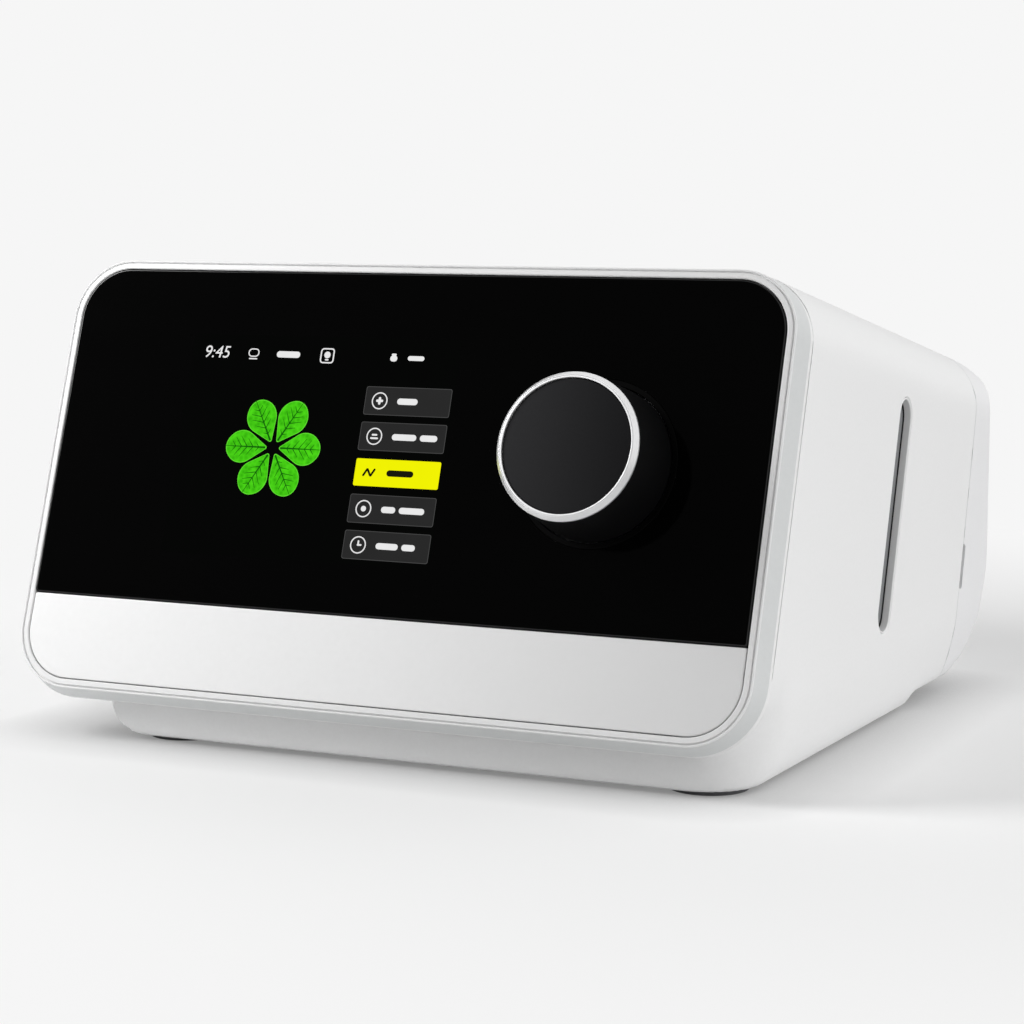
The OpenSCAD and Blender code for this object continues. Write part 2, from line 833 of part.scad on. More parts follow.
module push_plunger() {
    color(moulding_grey) place() on_knob() rod(0, 0, shaft_low_z - plunger_h, plunger_r, plunger_h);
}

module encoder_shaft() {
    color(steel) place() on_knob() rod(0, 0, shaft_low_z, shaft_r, shaft_top_z - shaft_low_z);
}

module knob_collar() {
    color(rubber_dark) place() on_knob() difference() {
        union() {
            rod(0, 0, well_floor_z - collar_t, collar_r - 0.6, collar_t);
            rod(0, 0, well_floor_z, collar_r, glass_t);
        }
        rod(0, 0, well_floor_z, well_r, glass_t + 1);
        rod(0, 0, well_floor_z - collar_t - 1, bush_r + seat_gap, collar_t + 2);
    }
}

module knob_body() {
    roof_z = core_top_z - knob_wall - roof_t;
    color(glass_black) place() on_knob() rotate_extrude($fn = 96) polygon([
        [shaft_r, skirt_low_z],
        [shaft_r + hub_wall, skirt_low_z],
        [shaft_r + hub_wall, roof_z],
        [core_r - knob_wall, roof_z],
        [skirt_r - knob_wall, skirt_low_z],
        [skirt_r, skirt_low_z],
        [skirt_r, skirt_straight],
        [knob_r, ring_z],
        [core_r, ring_z],
        [core_r, core_top_z],
        [0, core_top_z],
        [0, shaft_top_z],
        [shaft_r, shaft_top_z]]);
}

module knob_ring() {
    color(steel) place() on_knob() rotate_extrude($fn = 96) polygon([
        [knob_r - ring_w, ring_z],
        [knob_r, ring_z],
        [knob_r, knob_h],
        [knob_r - ring_w, knob_h]]);
}

module knob_cap() {
    color(cap_dark) place() on_knob() rod(0, 0, core_top_z, core_r, cap_t);
}

module start_button() {
    color(cover_white) place() on_top(button_right, button_back) {
        rod(0, 0, button_low_z, button_r, -button_low_z);
        rod(0, 0, button_low_z, button_r + button_over, button_flange);
        rod(0, 0, button_low_z - stem_len, stem_r, stem_len);
    }
}

module button_switch() {
    board_top_z = switch_board_z + board_t;
    color(board_green) place() on_top(button_right, button_back) difference() {
        union() {
            block(span(0, switch_board_w), span(0, switch_board_h), [switch_board_z, board_top_z]);
            block(span(0, switch_w), span(0, switch_w), [board_top_z, board_top_z + switch_h]);
        }
        rod(0, 0, button_low_z - stem_len - button_travel - stop_gap, stem_r + seat_gap, big);
    }
}

module side_slot_trim() {
    out_len = slot_len - 2 * seat_gap;
    out_w = slot_w - 2 * seat_gap;
    in_len = out_len - 2 * slot_rim;
    in_w = out_w - 2 * slot_rim;
    color(slot_grey) place() on_slot(wall) difference() {
        union() {
            stadium(out_len, out_w, wall);
            translate([0, 0, -slot_flange])
                stadium(slot_len + 2 * slot_over, slot_w + 2 * slot_over, slot_flange);
        }
        translate([0, 0, wall - slot_sink]) stadium(in_len, in_w, slot_sink + 1);
        difference() {
            translate([0, 0, wall - slot_sink - groove_w]) stadium(in_len, in_w, groove_w + 0.1);
            translate([0, 0, -1]) stadium(in_len - 2 * groove_w, in_w - 2 * groove_w, wall + 1);
        }
    }
}

module main_board() {
    color(board_green) place() block(board_x, board_y, [board_z, board_z + board_t]);
}

module board_components() {
    color(moulding_grey) place() for (p = board_parts)
        translate([board_x[0] + p[0], board_y[0] + p[1], board_z + board_t]) cube([p[2], p[3], p[4]]);
}

module speaker() {
    color(rubber_dark) place() rod(speaker_x, speaker_y, floor_z, speaker_r, speaker_h);
}

module blower_base() {
    color(moulding_grey) place() difference() {
        union() {
            rod(blower_x, blower_y, blower_z, scroll_r + duct_wall, duct_wall + scroll_h);
            rod_x(pipe_end_x, blower_x, port_y, port_up, pipe_r);
            for (a = ear_angles) translate([blower_x, blower_y, blower_z]) rotate(a) hull() {
                translate([ear_reach, 0, 0]) cylinder(r = ear_r, h = ear_t, $fn = 32);
                translate([ear_reach - 2 * ear_r, 0, 0]) cylinder(r = ear_r, h = ear_t, $fn = 32);
            }
            rod(blower_x, blower_y, blower_z - 1.4, bearing_r + bearing_wall, 2);
        }
        rod(blower_x, blower_y, scroll_z, scroll_r, scroll_h + 1);
        intersection() {
            rod_x(pipe_end_x - 1, blower_x, port_y, port_up, airway_r);
            block([-big, blower_x], [-big, big], [scroll_z, lid_z]);
        }
        at_ears(blower_z - 1) cylinder(r = screw_hole_r, h = ear_t + 2, $fn = 48);
        rod(blower_x, blower_y, blower_z - 2, bearing_r, bearing_h);
        rod(blower_x, blower_y, blower_z - 2, spindle_r + 0.5, big);
    }
}

module blower_lid() {
    color(moulding_grey) place() difference() {
        union() {
            rod(blower_x, blower_y, lid_z, scroll_r + duct_wall, duct_wall);
            rod(blower_x, blower_y, lid_z, inlet_r + duct_wall, duct_wall + neck_h);
        }
        rod(blower_x, blower_y, lid_z - 1, inlet_r, duct_wall + neck_h + 2);
        rod_x(-big, blower_x + seat_gap, port_y, port_up, pipe_r + seat_gap);
    }
}

module impeller() {
    color(cover_white) place() translate([blower_x, blower_y, impeller_z]) difference() {
        union() {
            cylinder(r = impeller_r, h = disc_t, $fn = 96);
            cylinder(r = hub_r, h = blade_h + disc_t, $fn = 48);
            intersection() {
                cylinder(r = impeller_r, h = blade_h + disc_t + 0.2, $fn = 96);
                for (i = [0:blade_count - 1]) rotate(i * 360 / blade_count) translate([hub_r - 1, 0, 0])
                    rotate(-blade_sweep) cube([impeller_r, blade_t, blade_h + disc_t + 0.2]);
            }
            translate([0, 0, blade_h + disc_t]) difference() {
                cylinder(r = impeller_r, h = disc_t, $fn = 96);
                rod(0, 0, -1, inlet_r - 1, disc_t + 2);
            }
        }
        rod(0, 0, -1, spindle_r, blade_h + 4);
    }
}

module motor_rotor() {
    color(steel) place() {
        rod(blower_x, blower_y, spindle_low_z, spindle_r, impeller_z + blade_h + disc_t - spindle_low_z);
        rod(blower_x, blower_y, core_low_z, rotor_r, core_h);
    }
}

module motor_stator() {
    stator_r = motor_r - can_wall - seat_gap;
    color(copper) place() translate([blower_x, blower_y, 0]) difference() {
        rod(0, 0, core_low_z, stator_r, core_h);
        rod(0, 0, can_z, stator_in_r, motor_h);
        for (a = [0:60:300]) rotate(a)
            rod(stator_in_r + stator_slot_r + 1.4, 0, can_z, stator_slot_r, motor_h);
    }
}

module motor_can() {
    color(steel) place() difference() {
        rod(blower_x, blower_y, can_z, motor_r, motor_h);
        rod(blower_x, blower_y, can_z + can_wall, motor_r - can_wall, motor_h);
    }
}

module shaft_bearings() {
    color(steel) place() for (z = [can_z + can_wall, blower_z + 1 - bearing_h]) difference() {
        rod(blower_x, blower_y, z, bearing_r, bearing_h);
        rod(blower_x, blower_y, z - 1, spindle_r + run_gap, bearing_h + 2);
    }
}

module blower_grommets() {
    color(rubber_dark) place() at_ears(blower_z - grommet_h) difference() {
        cylinder(r = ear_r, h = grommet_h, $fn = 48);
        rod(0, 0, -1, screw_hole_r, grommet_h + 2);
    }
}

module blower_screws() {
    color(steel) place() at_ears(blower_z + ear_t) {
        cylinder(r = head_r, h = head_h, $fn = 48);
        rod(0, 0, -ear_t - grommet_h - blower_screw_len, screw_r, ear_t + grommet_h + blower_screw_len);
    }
}

module outlet_sleeve() {
    x0 = spigot_x - sleeve_grip;
    x1 = pipe_end_x + sleeve_grip;
    color(moulding_grey) place() difference() {
        union() {
            rod_x(x0, x1, port_y, port_up, port_r + seat_gap + sleeve_t);
            for (x = [spigot_x + rib_in:rib_pitch:pipe_end_x - rib_in])
                rod_x(x, x + rib_t, port_y, port_up, port_r + sleeve_t + rib_out);
        }
        rod_x(x0 - 1, x1 + 1, port_y, port_up, port_r + seat_gap);
    }
}

module outlet_port() {
    color(cover_white) place() difference() {
        union() {
            rod_x(-half_w - port_out, spigot_x, port_y, port_up, port_r);
            rod_x(-half_w, -inner_w, port_y, port_up, port_r + port_shoulder);
            rod_x(-inner_w, -inner_w + flange_t, port_y, port_up, port_r + flange_over);
        }
        rod_x(-half_w - port_out - 1, spigot_x + 1, port_y, port_up, airway_r);
    }
}

module flow_sensor() {
    x0 = pipe_end_x + sleeve_grip + sensor_in;
    color(board_green) place() block([x0, x0 + sensor_len], span(port_y, sensor_w),
        [port_up + pipe_r + seat_gap, duct_z - 1]);
}

module inlet_duct() {
    outer = [[duct_front_y, duct_z], [duct_back_y - duct_leg, duct_z], [duct_back_y - duct_leg, duct_low_z],
        [duct_back_y, duct_low_z], [duct_back_y, duct_top_z], [duct_front_y, duct_top_z]];
    color(cover_white) place() difference() {
        across(filter_right - duct_w / 2, filter_right + duct_w / 2) polygon(outer);
        across(filter_right - duct_w / 2 + duct_wall, filter_right + duct_w / 2 - duct_wall)
            offset(delta = -duct_wall) polygon(outer);
        rod(blower_x, blower_y, duct_z - 1, inlet_r + duct_wall + seat_gap, duct_wall + 2);
        block(span(filter_right, filter_w - 2 * frame_w - 2), [duct_back_y - duct_wall - 1, duct_back_y + 1],
            span(rear_mid_z, filter_h - 2 * frame_w));
    }
}

module muffler_foam() {
    color(foam_grey) place() block(span(filter_right, duct_w - 2 * duct_wall - 2 * duct_gap),
        [duct_front_y + duct_wall + duct_gap, duct_back_y - duct_leg],
        [duct_top_z - duct_wall - duct_gap - foam_t, duct_top_z - duct_wall - duct_gap]);
}

module air_filter() {
    color(foam_grey) place() block(span(filter_right, filter_w - 4),
        [filter_y - filter_t, filter_y], span(rear_mid_z, filter_h - 1));
}

module filter_cover() {
    slit_pitch = (filter_h - slit_end) / slit_count;
    color(cover_white) place() difference() {
        intersection() {
            body_form();
            union() {
                difference() {
                    block(span(filter_right, filter_w), [filter_y, rear_y + 1], span(rear_mid_z, filter_h));
                    body_form(wall);
                }
                for (s = [-1, 1]) block(span(filter_right + s * (filter_w - arm_t) / 2, arm_t),
                    [filter_y - filter_t, rear_y - wall / 2], span(rear_mid_z, arm_h));
            }
        }
        for (i = [0:slit_count - 1]) block(span(filter_right, filter_w - 2 * slit_end),
            [filter_y - 1, rear_y + 1], span(rear_mid_z + (i - (slit_count - 1) / 2) * slit_pitch, slit_w));
    }
}

module power_socket() {
    neck_len = wall + socket_neck;
    side = socket_body_w / 2;
    color(rubber_dark) place() translate([-socket_left, rear_y, rear_mid_z]) rotate([90, 0, 0]) difference() {
        union() {
            cylinder(r = socket_r + socket_wall, h = neck_len, $fn = 64);
            translate([-side, -side, neck_len]) cube([2 * side, 2 * side, socket_deep + 3 - neck_len]);
        }
        translate([0, 0, -1]) difference() {
            cylinder(r = socket_r, h = socket_deep + 1, $fn = 64);
            translate([0, 0, 2]) cylinder(r = socket_pin_r, h = big, $fn = 32);
        }
    }
}

module card_socket() {
    x0 = -inner_w;
    color(steel) place() difference() {
        block([x0, x0 + card_len + 4], span(card_back, card_w + 5), span(card_up, card_t + 3));
        block([x0 - 1, x0 + card_len - 1], span(card_back, card_w + 2 * move_gap),
            span(card_up, card_t + 2 * move_gap));
    }
}

module memory_card() {
    color(glass_black) place() block([-half_w + 0.8, -half_w + 0.8 + card_len], span(card_back, card_w),
        span(card_up, card_t));
}

module rubber_feet() {
    color(rubber_dark) place() for (x = foot_x, y = foot_y) rod(x, y, 0, foot_r, foot_h + foot_sink);
}

module case_screws() {
    color(steel) place() for (x = case_post_x, y = case_post_y) {
        rod(x, y, base_z + head_sink, head_r, head_h);
        rod(x, y, base_z + head_sink, screw_r, split_z - base_z + case_screw_len / 2);
    }
}

main_housing();
base_tray();
rear_cover();
front_bezel();
display_glass();
lower_panel();
display_module();
front_chassis();
front_board();
encoder_body();
push_plunger();
encoder_shaft();
knob_collar();
knob_body();
knob_ring();
knob_cap();
start_button();
button_switch();
side_slot_trim();
main_board();
board_components();
speaker();
blower_base();
blower_lid();
impeller();
motor_rotor();
motor_stator();
motor_can();
shaft_bearings();
blower_grommets();
blower_screws();
outlet_sleeve();
outlet_port();
flow_sensor();
inlet_duct();
muffler_foam();
air_filter();
filter_cover();
power_socket();
card_socket();
memory_card();
rubber_feet();
case_screws();
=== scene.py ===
"""Looks of a bedside airway-pressure machine: a leaning black glass with a lit display and a push-and-turn
knob in a pale ring, a smooth white case with a grey insert in its right side, and a low base on four feet.
Lengths are millimetres in the body's frame: x = 0 is the middle plane, y = 0 the glass's lower edge and
z = 0 the floor. BODY_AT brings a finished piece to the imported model's frame, in metres."""
import math

import bmesh
import bpy
from mathutils import Matrix, Vector


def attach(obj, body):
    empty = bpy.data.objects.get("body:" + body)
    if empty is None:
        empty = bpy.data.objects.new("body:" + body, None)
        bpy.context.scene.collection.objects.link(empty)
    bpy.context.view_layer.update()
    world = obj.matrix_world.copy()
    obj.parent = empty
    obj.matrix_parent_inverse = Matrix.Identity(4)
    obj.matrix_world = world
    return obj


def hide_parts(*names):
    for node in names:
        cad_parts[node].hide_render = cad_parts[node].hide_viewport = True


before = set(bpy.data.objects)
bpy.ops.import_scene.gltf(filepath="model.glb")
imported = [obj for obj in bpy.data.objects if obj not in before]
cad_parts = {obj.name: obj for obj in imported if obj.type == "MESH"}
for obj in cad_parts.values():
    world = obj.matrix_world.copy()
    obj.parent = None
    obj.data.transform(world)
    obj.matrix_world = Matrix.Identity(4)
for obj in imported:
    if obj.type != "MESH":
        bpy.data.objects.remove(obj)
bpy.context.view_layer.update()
scene = bpy.context.scene
scene.view_settings.view_transform = "Standard"
bpy.ops.object.select_all(action="DESELECT")

MM = 0.001
HAIR = 0.01
BODY_AT = Vector((10.0, -92.281, 0.0)) * MM

# -------- sizes of the body
HALF_W = 94.0
REAR_Y = 188.0
PANEL_Z = 14.3
FACE_LEAN = 18.2
TOP_FALL = 10.0
SEAM_LEAN, SEAM_Y = 15.6, 147.0
SPLIT_Z, BELLY_Z, BASE_Z = 10.6, 4.2, 0.9
TOP_Y, TOP_Z = 36.38, 110.23
REAR_TOP_Z = 83.5
HEEL_Y, HEEL_Z, REAR_IN = 162.9, 39.7, 2.6
DOCK_X, DOCK_TAPER = -70.0, 3.0
BAND_END_Y, BASE_Y = 123.6, 5.6
# How far the side draws in towards the foot of the base, at each height
ROLL = ((6.5, -1), (4.4, 2.4), (3.1, 4.4), (2.1, 7), (1.3, 10), (0.7, 13.5), (0.2, 17), (-1, 23))
ROLL_R, ROLL_TOP = 17, 18
# Roundings of the body's edges
BELLY_R, HEEL_R, REAR_TOP_R, SPLIT_R, DOCK_R, REAR_SIDE_R = 24, 35, 19, 16.8, 9.5, 13
BASE_R, BASE_DOCK_R = 16.6, 3
EDGE_R = 16.3
WALL = 2.5
BEZEL_DEPTH = 6.0


# -------- frames
def axes(x, y, z, at=(0, 0, 0)):
    """A matrix whose columns are the given axes, at a point in millimetres."""
    m = Matrix((x, y, z)).transposed().to_4x4()
    m.translation = Vector(at) * MM
    return m


def lean(degrees):
    return math.sin(math.radians(degrees)), math.cos(math.radians(degrees))


fs, fc = lean(FACE_LEAN)
ts, tc = lean(TOP_FALL)
ACROSS = axes((0, 1, 0), (0, 0, 1), (1, 0, 0))
ALONG = axes((1, 0, 0), (0, 0, 1), (0, -1, 0))
FLAT = Matrix.Identity(4)
FACE = axes((1, 0, 0), (0, fs, fc), (0, -fc, fs), (0, 0, PANEL_Z))
TOP = axes((1, 0, 0), (0, tc, -ts), (0, ts, tc), (0, TOP_Y, TOP_Z))


# -------- modelling steps, as by hand
def only(*objs):
    """Selects these objects alone, the first one active."""
    if bpy.context.object and bpy.context.object.mode != "OBJECT":
        bpy.ops.object.mode_set(mode="OBJECT")
    bpy.ops.object.select_all(action="DESELECT")
    for o in objs:
        o.select_set(True)
    bpy.context.view_layer.objects.active = objs[0]


def edit(obj, mode="FACE"):
    """Enters edit mode with nothing selected and returns the mesh."""
    only(obj)
    bpy.ops.object.mode_set(mode="EDIT")
    bpy.ops.mesh.select_mode(type=mode)
    bpy.ops.mesh.select_all(action="DESELECT")
    return bmesh.from_edit_mesh(obj.data)


def pick(obj, bm, kind, test):
    """Selects what passes the test in edit mode; kind is verts, edges or faces."""
    bpy.ops.mesh.select_all(action="DESELECT")
    for part in getattr(bm, kind):
        if test(part):
            part.select = True
    bm.select_flush_mode()
    bmesh.update_edit_mesh(obj.data)


def leave():
    bpy.ops.object.mode_set(mode="OBJECT")


def draw(corners, segments=12):
    """A flat face whose corners (x, y, radius) are drawn one after another and then rounded."""
    spots = [(x * MM, y * MM, r * MM) for x, y, r in corners]
    bpy.ops.mesh.primitive_plane_add(size=MM)
    obj = bpy.context.object
    bm = edit(obj, "VERT")
    bmesh.ops.delete(bm, geom=list(bm.verts)[1:], context="VERTS")
    bm.verts.ensure_lookup_table()
    bm.verts[0].co = (spots[0][0], spots[0][1], 0)
    bm.verts[0].select = True
    bmesh.update_edit_mesh(obj.data)
    for (ax, ay, _), (bx, by, _) in zip(spots, spots[1:]):
        bpy.ops.mesh.extrude_vertices_move(TRANSFORM_OT_translate={"value": (bx - ax, by - ay, 0)})
    bpy.ops.mesh.select_all(action="SELECT")
    bpy.ops.mesh.edge_face_add()
    for x, y, r in spots:
        if r <= 0:
            continue
        bm = bmesh.from_edit_mesh(obj.data)
        at = Vector((x, y, 0))
        corner = min(bm.verts, key=lambda v: (v.co - at).length)
        pick(obj, bm, "verts", lambda v: v == corner)
        legs = [e.other_vert(corner).co - corner.co for e in corner.link_edges]
        bpy.ops.mesh.bevel(offset_type="OFFSET", offset=r / math.tan(legs[0].angle(legs[1]) / 2),
                           affect="VERTICES", segments=segments, profile=0.5)
    leave()
    return obj


def raise_up(obj, height, start=0.0):
    """Extrudes a drawn face by height from start, along its own z."""
    bm = edit(obj)
    bpy.ops.mesh.select_all(action="SELECT")
    bpy.ops.transform.translate(value=(0, 0, start * MM))
    bpy.ops.mesh.extrude_region_move(TRANSFORM_OT_translate={"value": (0, 0, height * MM)})
    bpy.ops.mesh.select_all(action="SELECT")
    bpy.ops.mesh.normals_make_consistent(inside=False)
    leave()
    return obj


def put(obj, matrix):
    """Moves a piece's mesh by a matrix and leaves its object at the origin."""
    only(obj)
    obj.matrix_world = matrix @ obj.matrix_world
    bpy.ops.object.transform_apply(location=True, rotation=True, scale=True)
    return obj


def prism(corners, low, high, matrix=FLAT, segments=12):
    return put(raise_up(draw(corners, segments), high - low, low), matrix)


def copy_of(obj):
    only(obj)
    bpy.ops.object.duplicate()
    return bpy.context.object


def modify(obj, kind, **settings):
    """Adds a modifier, sets it and applies it."""
    only(obj)
    bpy.ops.object.modifier_add(type=kind)
    mod = obj.modifiers[-1]
    for key, value in settings.items():
        setattr(mod, key, value)
    bpy.ops.object.modifier_apply(modifier=mod.name)
    return obj


def join_with(obj, tool, operation, solver="MANIFOLD"):
    """Boolean of two closed pieces; the tool is used up."""
    modify(obj, "BOOLEAN", operation=operation, object=tool, solver=solver)
    bpy.data.meshes.remove(tool.data)
    return obj


def cut(obj, tool):
    return join_with(obj, tool, "DIFFERENCE")


def bisect(obj, at, normal, fill=False):
    """Takes away what lies on the normal's side of a plane."""
    edit(obj)
    bpy.ops.mesh.select_all(action="SELECT")
    bpy.ops.mesh.bisect(plane_co=Vector(at) * MM, plane_no=normal, clear_outer=True, use_fill=fill)
    leave()
    return obj


def smooth(obj, degrees=30):
    """Soft shading across shallow edges, with flat faces kept flat."""
    only(obj)
    bpy.ops.object.shade_smooth_by_angle(angle=math.radians(degrees))
    return modify(obj, "WEIGHTED_NORMAL", keep_sharp=True)


def box_corners(x0, x1, y0, y1, r=0.0):
    return [(x0, y0, r), (x1, y0, r), (x1, y1, r), (x0, y1, r)]


def centred(w, h, r=0.0):
    return box_corners(-w / 2, w / 2, -h / 2, h / 2, r)


def lengthwise(w, length):
    """Corners of a slot with round ends, long in y."""
    return centred(w, length, w / 2 - HAIR)


def loft(levels, matrix=FLAT, ring=False, segments=12):
    """Bridges outlines with the same number of corners, each (corners, height), into one closed piece.
    A ring joins the last outline to the first; otherwise both ends are filled."""
    whole, last = None, None
    for i, (corners, height) in enumerate(levels):
        # Bridging needs two loops that aren't in one plane, so a level step drops by a hair
        height = last - HAIR if height == last else height
        last = height
        loop = draw(corners, segments)
        edit(loop)
        bpy.ops.mesh.select_all(action="SELECT")
        bpy.ops.transform.translate(value=(0, 0, height * MM))
        if ring or 0 < i < len(levels) - 1:
            bpy.ops.mesh.delete(type="ONLY_FACE")
        leave()
        marked = loop.data.attributes.new("level", "INT", "POINT")
        marked.data.foreach_set("value", [i] * len(loop.data.vertices))
        if whole:
            only(whole, loop)
            bpy.ops.object.join()
        whole = whole or loop
    edit(whole, "EDGE")
    for i in list(range(len(levels) - 1)) + ([-1] if ring else []):
        wanted = {i % len(levels), (i + 1) % len(levels)}
        bm = bmesh.from_edit_mesh(whole.data)
        level = bm.verts.layers.int["level"]
        pick(whole, bm, "edges",
             lambda e: e.verts[0][level] in wanted and e.verts[0][level] == e.verts[1][level])
        bpy.ops.mesh.bridge_edge_loops()
    bpy.ops.mesh.select_all(action="SELECT")
    bpy.ops.mesh.normals_make_consistent(inside=False)
    leave()
    whole.data.attributes.remove(whole.data.attributes["level"])
    return put(whole, matrix)


def lathe(profile, matrix=FLAT, steps=96):
    """Spins a drawn profile of corners (radius, height, rounding) round its own z."""
    obj = put(draw(profile, 4), axes((1, 0, 0), (0, 0, 1), (0, -1, 0)))
    edit(obj, "VERT")
    bpy.ops.mesh.select_all(action="SELECT")
    bpy.ops.mesh.delete(type="ONLY_FACE")
    bpy.ops.mesh.select_all(action="SELECT")
    bpy.ops.mesh.spin(steps=steps, angle=math.tau, center=(0, 0, 0), axis=(0, 0, 1))
    bpy.ops.mesh.select_all(action="SELECT")
    bpy.ops.mesh.remove_doubles(threshold=0.004 * MM)
    bpy.ops.mesh.delete_loose(use_verts=False, use_edges=True, use_faces=False)
    bpy.ops.mesh.select_all(action="SELECT")
    bpy.ops.mesh.normals_make_consistent(inside=False)
    leave()
    return put(obj, matrix)


def flared_hole(corners, depth, flare, matrix, spread):
    """A tool for a hole whose rim is chamfered by flare: it widens from just under the surface upwards.
    spread gives the hole's width and length, from which the widening is worked out."""
    tool = raise_up(draw(corners), depth - flare, -depth)
    bm = edit(tool)
    pick(tool, bm, "faces", lambda f: f.normal.z > 0.9)
    rise = flare * 4
    bpy.ops.mesh.extrude_region_move(TRANSFORM_OT_translate={"value": (0, 0, rise * MM)})
    bpy.ops.transform.resize(value=tuple(1 + 2 * rise / side for side in spread) + (1,),
                             center_override=(0, 0, (rise - flare) * MM))
    leave()
    return put(tool, matrix)


# -------- form of the body
FAR = 400.0
VOXEL = 1.4
FRONT_SPARE = 12.0
FRONT_END, SIDE_SPARE = -100, 5


def body_form():
    """The body as one closed soft-edged form, longer at the front than the case by FRONT_SPARE."""
    form = prism([(FRONT_END, BASE_Z, 0), (BAND_END_Y, BASE_Z, 0), (BAND_END_Y, BELLY_Z, 0),
                  (HEEL_Y, BELLY_Z, BELLY_R), (REAR_Y - REAR_IN, HEEL_Z, HEEL_R),
                  (REAR_Y, REAR_TOP_Z, REAR_TOP_R),
                  (FRONT_END, TOP_Z + (TOP_Y - FRONT_END) * ts / tc, 0)],
                 -HALF_W - SIDE_SPARE, HALF_W + SIDE_SPARE, ACROSS)
    join_with(form, prism([(-HALF_W, FAR, 0), (-HALF_W, SPLIT_Z, SPLIT_R), (DOCK_X, SPLIT_Z, 0),
                           (DOCK_X + DOCK_TAPER, BASE_Z, DOCK_R), (HALF_W, BASE_Z, 0), (HALF_W, FAR, 0)],
                          -FAR, FAR, ALONG), "INTERSECT")
    join_with(form, prism([(-HALF_W, -FAR, 0), (HALF_W, -FAR, 0), (HALF_W, REAR_Y, REAR_SIDE_R),
                           (-HALF_W, REAR_Y, REAR_SIDE_R)], -FAR, FAR), "INTERSECT")
    join_with(form, prism([(-HALF_W, -FAR, 0), (HALF_W, -FAR, 0), (HALF_W, 0, EDGE_R), (-HALF_W, 0, EDGE_R)],
                          -FAR, FAR, TOP @ axes((1, 0, 0), (0, 0, 1), (0, -1, 0))), "INTERSECT")
    nose = prism([(-HALF_W, SPLIT_Z, SPLIT_R), (HALF_W, SPLIT_Z, SPLIT_R), (HALF_W, FAR, 0),
                  (-HALF_W, FAR, 0)], -FAR, FAR, ALONG)
    join_with(nose, prism([(DOCK_X, BASE_Y, BASE_DOCK_R), (HALF_W, BASE_Y, BASE_R), (HALF_W, FAR, 0),
                           (DOCK_X, FAR, 0)], -FAR, FAR), "UNION")
    join_with(form, nose, "INTERSECT")
    low = loft([([(-FAR, BASE_Y, 0), (HALF_W - i, BASE_Y, ROLL_R - i), (HALF_W - i, FAR, 0),
                  (-FAR, FAR, 0)], z) for i, z in ROLL])
    join_with(low, prism(box_corners(-FAR, FAR, -FAR, FAR), ROLL_TOP, FAR), "UNION")
    join_with(form, low, "INTERSECT")
    bisect(form, FACE @ Vector((0, 0, (FRONT_SPARE - BEZEL_DEPTH) * MM)) / MM, (0, -fc, fs), fill=True)
    form.data.remesh_voxel_size = VOXEL * MM
    only(form)
    bpy.ops.object.voxel_remesh()
    modify(form, "SMOOTH", factor=0.5, iterations=10)
    return form


form = body_form()

# -------- case mouldings
ss, sc = lean(SEAM_LEAN)
BACK_OF_BEZEL = FACE @ Vector((0, 0, -BEZEL_DEPTH * MM)) / MM
OUT_OF_FACE = Vector((0, -fc, fs))
SEAM_AT = Vector((0, SEAM_Y, PANEL_Z))
TO_REAR = Vector((0, sc, -ss))
LIP = 0.1
SEAM_GAP, FRONT_GAP, FRONT_LIP = 0.14, 0.15, 0.08
ON_PLANE, MERGE = 0.02, 0.35


def turned_lip(obj, at, normal, gap=0.0, lip=LIP):
    """Cuts a skin open a gap short of a plane and turns the cut edge in by lip, as a small chamfer."""
    bisect(obj, at - normal * (gap + lip), normal)
    bm = edit(obj, "VERT")
    plane = Vector(at - normal * (gap + lip)) * MM
    pick(obj, bm, "verts", lambda v: v.is_boundary and abs((v.co - plane).dot(normal)) < ON_PLANE * MM)
    bpy.ops.mesh.remove_doubles(threshold=MERGE * MM)
    bm = bmesh.from_edit_mesh(obj.data)
    bpy.ops.mesh.select_mode(type="EDGE")
    pick(obj, bm, "edges", lambda e: e.is_boundary and all(
        abs((v.co - plane).dot(normal)) < ON_PLANE * MM for v in e.verts))
    bpy.ops.mesh.extrude_edges_move(TRANSFORM_OT_translate={"value": normal * (lip * MM)})
    bpy.ops.transform.shrink_fatten(value=-lip * MM)
    leave()
    return obj


def moulding(obj, name):
    """Gives an open skin the case's wall, inwards."""
    obj.name = obj.data.name = name
    return modify(obj, "SOLIDIFY", thickness=WALL * MM, offset=-1)


housing = turned_lip(copy_of(form), SEAM_AT, TO_REAR, SEAM_GAP)
housing = moulding(turned_lip(housing, BACK_OF_BEZEL, OUT_OF_FACE, FRONT_GAP, FRONT_LIP), "case_shell")
rear = moulding(turned_lip(copy_of(form), SEAM_AT, -TO_REAR, SEAM_GAP), "rear_shell")

# Holes in the mouldings
SPARE, FLARE, PORT_FLARE = 2, 0.3, 0.4
SLOT_LEN, SLOT_W = 57.0, 9.7
sls, slc = lean(17.3)
SLOT = axes((0, slc, -sls), (0, sls, slc), (1, 0, 0), (HALF_W, 94.4, 52.0))
BUTTON_R, BUTTON_X, BUTTON_BACK = 8.0, 50.0, 20.0
MOVE_GAP, SEAT_GAP = 0.35, 0.2
BUTTON = TOP @ Matrix.Translation(Vector((BUTTON_X, BUTTON_BACK, 0)) * MM)
PORT_Y, PORT_Z, PORT_R, PORT_OUT, AIRWAY_R = 128.0, 46.0, 11.0, 20.0, 9.0
PORT = axes((0, -1, 0), (0, 0, 1), (-1, 0, 0), (-HALF_W, PORT_Y, PORT_Z))
CARD_Y, CARD_Z, CARD_W, CARD_T = 62.0, 50.0, 24.0, 2.1
CARD = axes((0, -1, 0), (0, 0, 1), (-1, 0, 0), (-HALF_W, CARD_Y, CARD_Z))
REAR_MID_Z, FILTER_X, FILTER_W, FILTER_H = 59.914, 18.0, 78.0, 24.0
